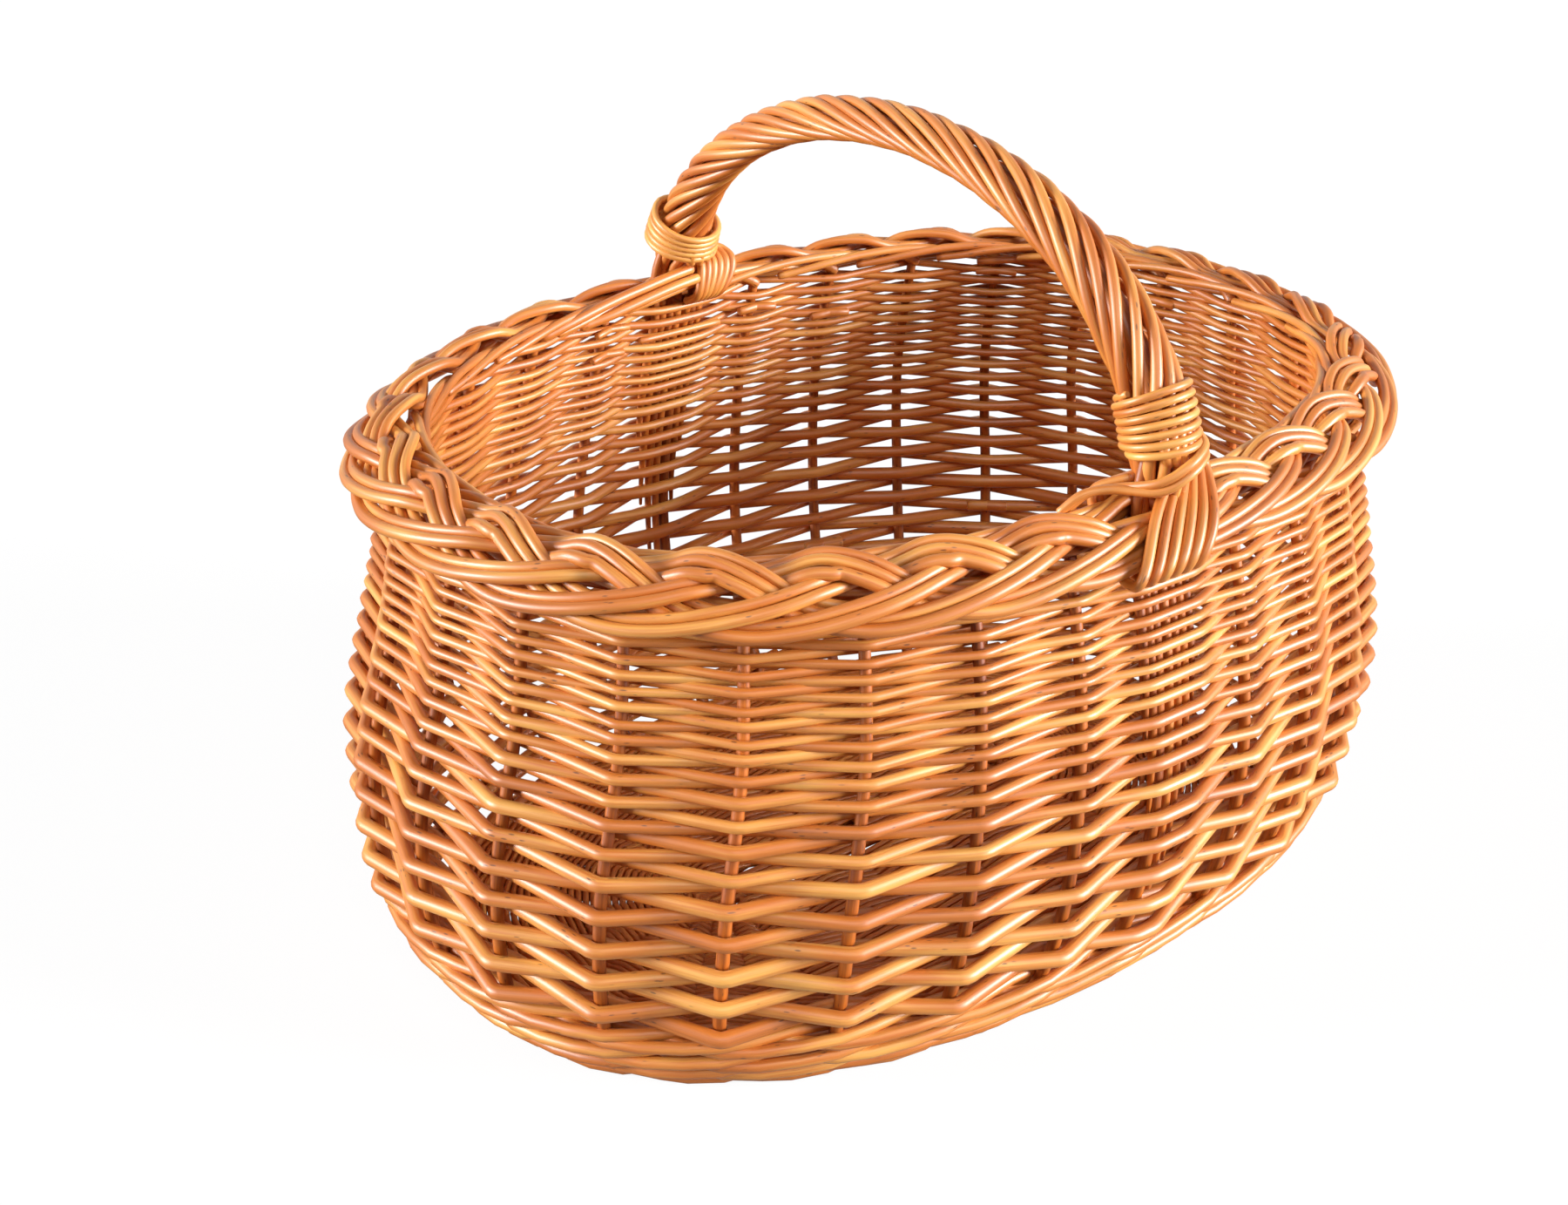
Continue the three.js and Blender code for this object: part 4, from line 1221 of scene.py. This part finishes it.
class BASKET_OT_add_bindings(bpy.types.Operator):
    """Bindings: a thin rod wound round the roping above each foot of the bow"""

    bl_idname = "basket.add_bindings"
    bl_label = "Bindings"

    SEED = 31
    STEPS = 28
    # A share of the bow that is longer than any binding.
    REACH = 0.3
    TABLE_STEPS = 300
    # The winding sinks between the rods of the roping by this share of its radius.
    SEAT = 0.9
    # Both ends are tucked in under the roping: over so many turns, and so deep.
    TUCK_TURNS = 0.22
    TUCK_DEPTH = 3.4 * MM
    # Share of the bow where each binding starts, its turns, their pitch in rod radii, how much
    # wider it is than the roping, and the angle at which it starts.
    NEAR = (0.058, 7.2, 2.08, 0.0, 0.6 * math.pi)
    FAR = (0.046, 5.4, 1.95, 1.6 * MM, math.pi)
    # The tails leave the bow at these angles in degrees, shares and mm off the roping, and pass
    # these places on the border: along, across and over in mm. The lower one is set off a little.
    TAIL_ON_BOW = ((-25, 0.068, 0.6), (-60, 0.06, 1.6), (-100, 0.05, 2.4), (-140, 0.036, 2.2))
    TAIL_ON_BORDER = ((-20, -15.5, 4.5), (-31, -18.5, 0.5), (-39, -17.5, -6.5))
    LOWER_ON_BOW = 0.009
    LOWER_ON_BORDER = 3 * MM
    TAIL_THICKNESS = 1.15
    TAIL_TINTS = (0.45, 0.65)
    TINTS = (0.1, 0.5)

    def winding(self, bow, sizes, far):
        """Centreline of a winding that climbs from a share of the bow."""
        start, turns, pitch, swell, first_angle = self.FAR if far else self.NEAR
        grid = np.linspace(start, start + self.REACH, self.TABLE_STEPS)
        steps = np.linalg.norm(np.diff(bow.point(grid), axis=0), axis=1)
        climbed = np.concatenate([[0], np.cumsum(steps)])
        wound = np.arange(int(turns * self.STEPS) + 1) / self.STEPS
        shares = np.interp(wound * pitch * sizes.binding_radius, climbed, grid)
        shares = 1 - shares if far else shares
        tuck = np.clip(1 - np.minimum(wound, turns - wound) / self.TUCK_TURNS, 0, 1)
        radius = bow.outer(shares) + sizes.binding_radius * self.SEAT + swell
        return bow.beside(shares, math.tau * wound + first_angle, radius - tuck * self.TUCK_DEPTH)

    def tails(self, plait, bow, sizes):
        """The last two turns of the near winding, tucked in behind the border's inner edge."""
        rods = []
        for lower in (0, 1):
            points = []
            for degrees, share, out in self.TAIL_ON_BOW:
                away = bow.outer(share) + sizes.binding_radius + out * MM
                share = np.array(share - self.LOWER_ON_BOW * lower)
                points.append(bow.beside(share, np.radians(degrees), away))
            for along, across, over in self.TAIL_ON_BORDER:
                turn = (along * MM - self.LOWER_ON_BORDER * lower) / plait.wall.round
                points.append(plait.place(turn, across * MM, over * MM))
            radius = sizes.binding_radius * self.TAIL_THICKNESS
            rods.append(rod(smooth(points, steps=6), radius, self.TAIL_TINTS[lower]))
        return rods

    def execute(self, context):
        settings = context.scene.basket
        sizes = settings.handle
        bow = Bow(sizes)
        plait = Plait(Wall(settings.wall), settings.border)
        rng = np.random.default_rng(self.SEED)
        for name, far, seed in (("near", False, 14), ("far", True, 15)):
            points = self.winding(bow, sizes, far)
            rods = [rod(points, sizes.binding_radius, rng.uniform(*self.TINTS))]
            if not far:
                rods += self.tails(plait, bow, sizes)
            add_piece(
                context, f"{name}_binding_rods", rods, "binding",
                [f"{name}_binding"], seed=seed, wobble=0.35 * MM, wobble_length=9 * MM,
            )
        return {"FINISHED"}


class BASKET_OT_add_lashings(bpy.types.Operator):
    """Lashings: six rods of the bow laid side by side over the border beside each foot"""

    bl_idname = "basket.add_lashings"
    bl_label = "Lashings"

    SEED = 41
    RODS = 6
    BUTT_AND_TIP = (1.05, 0.9)
    TINTS = (0.0, 0.6)
    # For each lashing: the shares of the bow where its rods start, the angle in degrees of the
    # first one there and how far the last lies from it, and how far outside the roping's face.
    # Then the first rod's way on the border, as along, across and over in mm from the middle of
    # the foot, each with how far along and across the last rod lies from it.
    NEAR_START = ((0.085, 0.055), -128, 84, -1.2 * MM)
    NEAR_WAY = (
        ((7, -15, 7.5), (16, 2, 0)),
        ((-13.7, -1, 7.5), (26, 6, 0)),
        ((-31, 17.5, 3), (34, -2, 0)),
        ((-32.5, 17, -4), (31.5, 0, 0)),
        ((-30, 4, -8.5), (26, 0, 0)),
        ((-25, -12, -9), (17, 0, 0)),
        ((-24, -20.5, -3), (17, 0, 0)),
        ((-14, -17.5, 5.5), (10, 0, 0)),
    )
    FAR_START = ((0.925, 0.955), 105, -92, 1.5 * MM)
    FAR_WAY = (
        ((-5.5, -19.5, 5.0), (-15.5, 0, 0)),
        ((-5, -22.0, -0.5), (-18.0, 0, 0)),
        ((-3, -20.5, -7.0), (-17.5, 0, 0)),
        ((-1, -16.0, -12.5), (-14.0, 0, 0)),
        ((0, -8.0, -12.0), (-12.0, 0, 0)),
    )

    def lashing_rod(self, plait, bow, far, place):
        """Way of one rod, by its place from 0 to 1: down over the plait, and under it if near."""
        shares, first_angle, angle_spread, outside = self.FAR_START if far else self.NEAR_START
        first, spread = np.array(self.FAR_WAY if far else self.NEAR_WAY).transpose(1, 2, 0)
        angle = np.radians(first_angle + angle_spread * place)
        start = [bow.beside(np.array(s), angle, bow.outer(s) + outside) for s in shares]
        along, across, over = (first + spread * place) * MM
        turn = (0.5 if far else 0.0) + along / plait.wall.round
        return smooth(np.concatenate([start, plait.place(turn, across, over)]), steps=6)

    def execute(self, context):
        settings = context.scene.basket
        plait = Plait(Wall(settings.wall), settings.border)
        bow = Bow(settings.handle)
        rng = np.random.default_rng(self.SEED)
        for name, far, seed in (("near", False, 16), ("far", True, 17)):
            rods = []
            for place in np.linspace(0, 1, self.RODS):
                points = self.lashing_rod(plait, bow, far, place)
                radii = settings.handle.lashing_radius * taper(len(points), self.BUTT_AND_TIP)
                rods.append(rod(points, radii, rng.uniform(*self.TINTS)))
            add_piece(
                context, f"{name}_lashing_rods", rods, "lashing",
                [f"{name}_lashing"], seed=seed, sides=12, wobble=0.4 * MM,
            )
        return {"FINISHED"}


class BASKET_OT_add_liners(bpy.types.Operator):
    """Liners: pointed rods pushed down through the rows beside each leg of the bow"""

    bl_idname = "basket.add_liners"
    bl_label = "Handle liners"

    SEED = 51
    # Place beside the leg along the wall, and height of the tip, in mm.
    LINERS = ((-13.2, 128), (-9.4, 96), (4.4, 74), (8.8, 104), (13.0, 140))
    TOP = 200 * MM
    STEPS = 12
    TINTS = (0.3, 1.0)
    # Above the wall they close in on the bow: shares of the bow, and of their place beside it.
    NECK = (0.008, 0.9)
    END = (0.055, 0.62)
    # A liner is pointed, and soon full: shares of its length and of its radius.
    POINT_SHARES = (0, 0.18, 1)
    POINT_RADII = (0.35, 0.9, 1.05)

    def execute(self, context):
        settings = context.scene.basket
        wall, sizes = Wall(settings.wall), settings.handle
        bow = Bow(sizes)
        rng = np.random.default_rng(self.SEED)
        rods = []
        for k in HANDLE_STAKES:
            far = k != 0
            for place, tip in self.LINERS:
                place = place * MM
                heights = np.linspace(tip * MM, self.TOP, self.STEPS)
                leg = wall.point(k / STAKES + place / wall.round, heights)
                # Turns run towards +X under the near end of the bow, and towards -X at the far one.
                side = -place if far else place
                neck, end = (
                    bow.point(1 - share if far else share) + np.array([closed * side, 0, 0])
                    for share, closed in (self.NECK, self.END)
                )
                points = np.concatenate([leg, smooth([leg[-1], neck, end], steps=5)[1:]])
                shares = np.linspace(0, 1, len(points))
                radii = sizes.liner_radius * np.interp(shares, self.POINT_SHARES, self.POINT_RADII)
                rods.append(rod(points, radii, rng.uniform(*self.TINTS)))
        # The liners take the stakes' finish, painted shade and all.
        add_piece(context, "handle_liners", rods, "stakes", [], seed=18)
        return {"FINISHED"}


class BASKET_OT_add_stage(bpy.types.Operator):
    """Pale floor, soft light and the camera"""

    bl_idname = "basket.add_stage"
    bl_label = "Floor, light and camera"

    # The camera's place, by a fit to the outlines of the basket in the photograph.
    AZIMUTH = math.radians(-38.95)
    ELEVATION = math.radians(27.23)
    ROLL = math.radians(1.32)
    DISTANCE = 954.24 * MM
    TARGET = Vector((-34.24 * MM, 22.46 * MM, 118.63 * MM))
    SENSOR_MM = 36.0
    LENS_MM = 52.93
    SIGHT = 20
    # The card's grey under the light, its glow to the camera, and how much of it is that glow.
    FLOOR_HALF = 4.0
    CARD_GREY = "#969696"
    CARD_GLOW = 1.27
    CARD_SEEN = 0.74
    # Soft boxes right, left and above: turned from the camera, raised, and their strength.
    SOFT_BOXES = (
        (math.radians(79), math.radians(13), 6.3),
        (math.radians(-79), math.radians(13), 5.1),
        (math.radians(8), math.radians(45), 0.7),
    )
    BOX_WIDTH = math.radians(24)
    FILL_STRENGTH = 0.05
    # How much of the white background the varnish mirrors.
    MIRRORED_SHARE = 0.6
    WHITE = (1, 1, 1, 1)

    def towards(self, azimuth, elevation):
        """Direction from the basket to a lamp or the camera."""
        level = math.cos(elevation)
        x, y = math.sin(azimuth) * level, -math.cos(azimuth) * level
        return Vector((x, y, math.sin(elevation)))

    def add_camera(self, context):
        """The camera at the photograph's viewing angle."""
        back = self.towards(self.AZIMUTH, self.ELEVATION)
        right = Vector((math.cos(self.AZIMUTH), math.sin(self.AZIMUTH), 0))
        up = back.cross(right)
        sin_r, cos_r = math.sin(self.ROLL), math.cos(self.ROLL)
        data = bpy.data.cameras.new("camera")
        data.sensor_fit = "HORIZONTAL"
        data.sensor_width = self.SENSOR_MM
        data.lens = self.LENS_MM
        data.clip_end = self.SIGHT
        camera = bpy.data.objects.new("camera", data)
        turn = Matrix((right * cos_r + up * sin_r, up * cos_r - right * sin_r, back))
        place = Matrix.Translation(self.TARGET + back * self.DISTANCE)
        camera.matrix_world = place @ turn.transposed().to_4x4()
        context.scene.collection.objects.link(camera)
        context.scene.camera = camera

    def add_floor(self, context):
        """The floor, which takes the basket's shadow."""
        half = self.FLOOR_HALF
        edge = [(-half, -half, 0), (half, -half, 0), (half, half, 0), (-half, half, 0)]
        mesh = bpy.data.meshes.new("floor")
        mesh.from_pydata(edge, [], [(0, 1, 2, 3)])
        floor = bpy.data.objects.new("floor", mesh)
        context.scene.collection.objects.link(floor)
        # White studio card: matt, and so bright to the camera that only the shadow shows on it.
        card = bpy.data.materials.new("matt_white_card")
        card.use_nodes = True
        card.node_tree.nodes.clear()
        add = functools.partial(add_node, card.node_tree)
        matt = add("ShaderNodeBsdfDiffuse", {"Color": (*linear(self.CARD_GREY), 1)})
        glow = add("ShaderNodeEmission", {"Color": self.WHITE, "Strength": self.CARD_GLOW})
        seen = add("ShaderNodeLightPath", output="Is Camera Ray")
        share = add("ShaderNodeMath", {0: seen, 1: self.CARD_SEEN}, operation="MULTIPLY")
        shader = add("ShaderNodeMixShader", {0: share, 1: matt, 2: glow})
        add("ShaderNodeOutputMaterial", {"Surface": shader}, None)
        mesh.materials.append(card)

    def add_light(self, context):
        """The soft boxes, and a world that is white only to the camera, gloss and glass."""
        for turned, raised, strength in self.SOFT_BOXES:
            source = self.towards(self.AZIMUTH + turned, raised)
            data = bpy.data.lights.new("soft_box", "SUN")
            data.energy = strength
            data.angle = self.BOX_WIDTH
            lamp = bpy.data.objects.new("soft_box", data)
            lamp.rotation_euler = source.to_track_quat("Z", "Y").to_euler()
            context.scene.collection.objects.link(lamp)
        world = bpy.data.worlds.new("studio")
        context.scene.world = world
        world.use_nodes = True
        world.node_tree.nodes.clear()
        add = functools.partial(add_node, world.node_tree)
        path = add("ShaderNodeLightPath", output=None)
        seen = path["Is Glossy Ray"]
        for other, operation in (
            (self.MIRRORED_SHARE, "MULTIPLY"),
            (path["Is Camera Ray"], "MAXIMUM"),
            (path["Is Transmission Ray"], "MAXIMUM"),
        ):
            seen = add("ShaderNodeMath", {0: seen, 1: other}, operation=operation)
        inputs = {"Value": seen, "To Min": self.FILL_STRENGTH, "To Max": 1.0}
        strength = add("ShaderNodeMapRange", inputs)
        light = add("ShaderNodeBackground", {"Color": self.WHITE, "Strength": strength})
        add("ShaderNodeOutputWorld", {"Surface": light}, None)

    def execute(self, context):
        self.add_camera(context)
        self.add_floor(context)
        self.add_light(context)
        context.scene.view_settings.view_transform = "Standard"
        return {"FINISHED"}


OPERATORS = (
    BASKET_OT_add_base,
    BASKET_OT_add_stakes,
    BASKET_OT_add_foot_wale,
    BASKET_OT_add_siding,
    BASKET_OT_add_border,
    BASKET_OT_add_handle,
    BASKET_OT_add_bindings,
    BASKET_OT_add_lashings,
    BASKET_OT_add_liners,
    BASKET_OT_add_stage,
)


class BASKET_PT_panel(bpy.types.Panel):
    """Sizes, colours and pieces of the basket"""

    bl_idname = "BASKET_PT_panel"
    bl_label = "Willow basket"
    bl_space_type = "VIEW_3D"
    bl_region_type = "UI"
    bl_category = "Basket"

    def draw(self, context):
        settings = context.scene.basket
        for group in (
            settings.wall, settings.weave, settings.border, settings.handle, settings.finish
        ):
            box = self.layout.box()
            for name in group.bl_rna.properties.keys():
                if name not in ("rna_type", "name"):
                    box.prop(group, name)
        column = self.layout.column()
        for operator in OPERATORS:
            column.operator(operator.bl_idname)


GROUPS = (WallSizes, WeaveSizes, BorderSizes, HandleSizes, FinishColours, BasketSettings)
CLASSES = (*GROUPS, *OPERATORS, BASKET_PT_panel)


def register():
    """Adds the basket's classes and settings to Blender."""
    for cls in CLASSES:
        bpy.utils.register_class(cls)
    bpy.types.Scene.basket = bpy.props.PointerProperty(type=BasketSettings)


def unregister():
    """Takes them out again."""
    del bpy.types.Scene.basket
    for cls in reversed(CLASSES):
        bpy.utils.unregister_class(cls)


def corners(box):
    """A box's two corners as plain lists."""
    return [[float(value) for value in corner] for corner in box]


def main():
    """Makes every piece in order."""
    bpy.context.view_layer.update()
    register()
    bpy.ops.basket.add_base()
    bpy.ops.basket.add_stakes()
    bpy.ops.basket.add_foot_wale()
    bpy.ops.basket.add_siding()
    bpy.ops.basket.add_border()
    bpy.ops.basket.add_handle()
    bpy.ops.basket.add_bindings()
    bpy.ops.basket.add_lashings()
    bpy.ops.basket.add_liners()
    bpy.ops.basket.add_stage()


if __name__ == "__main__":
    main()
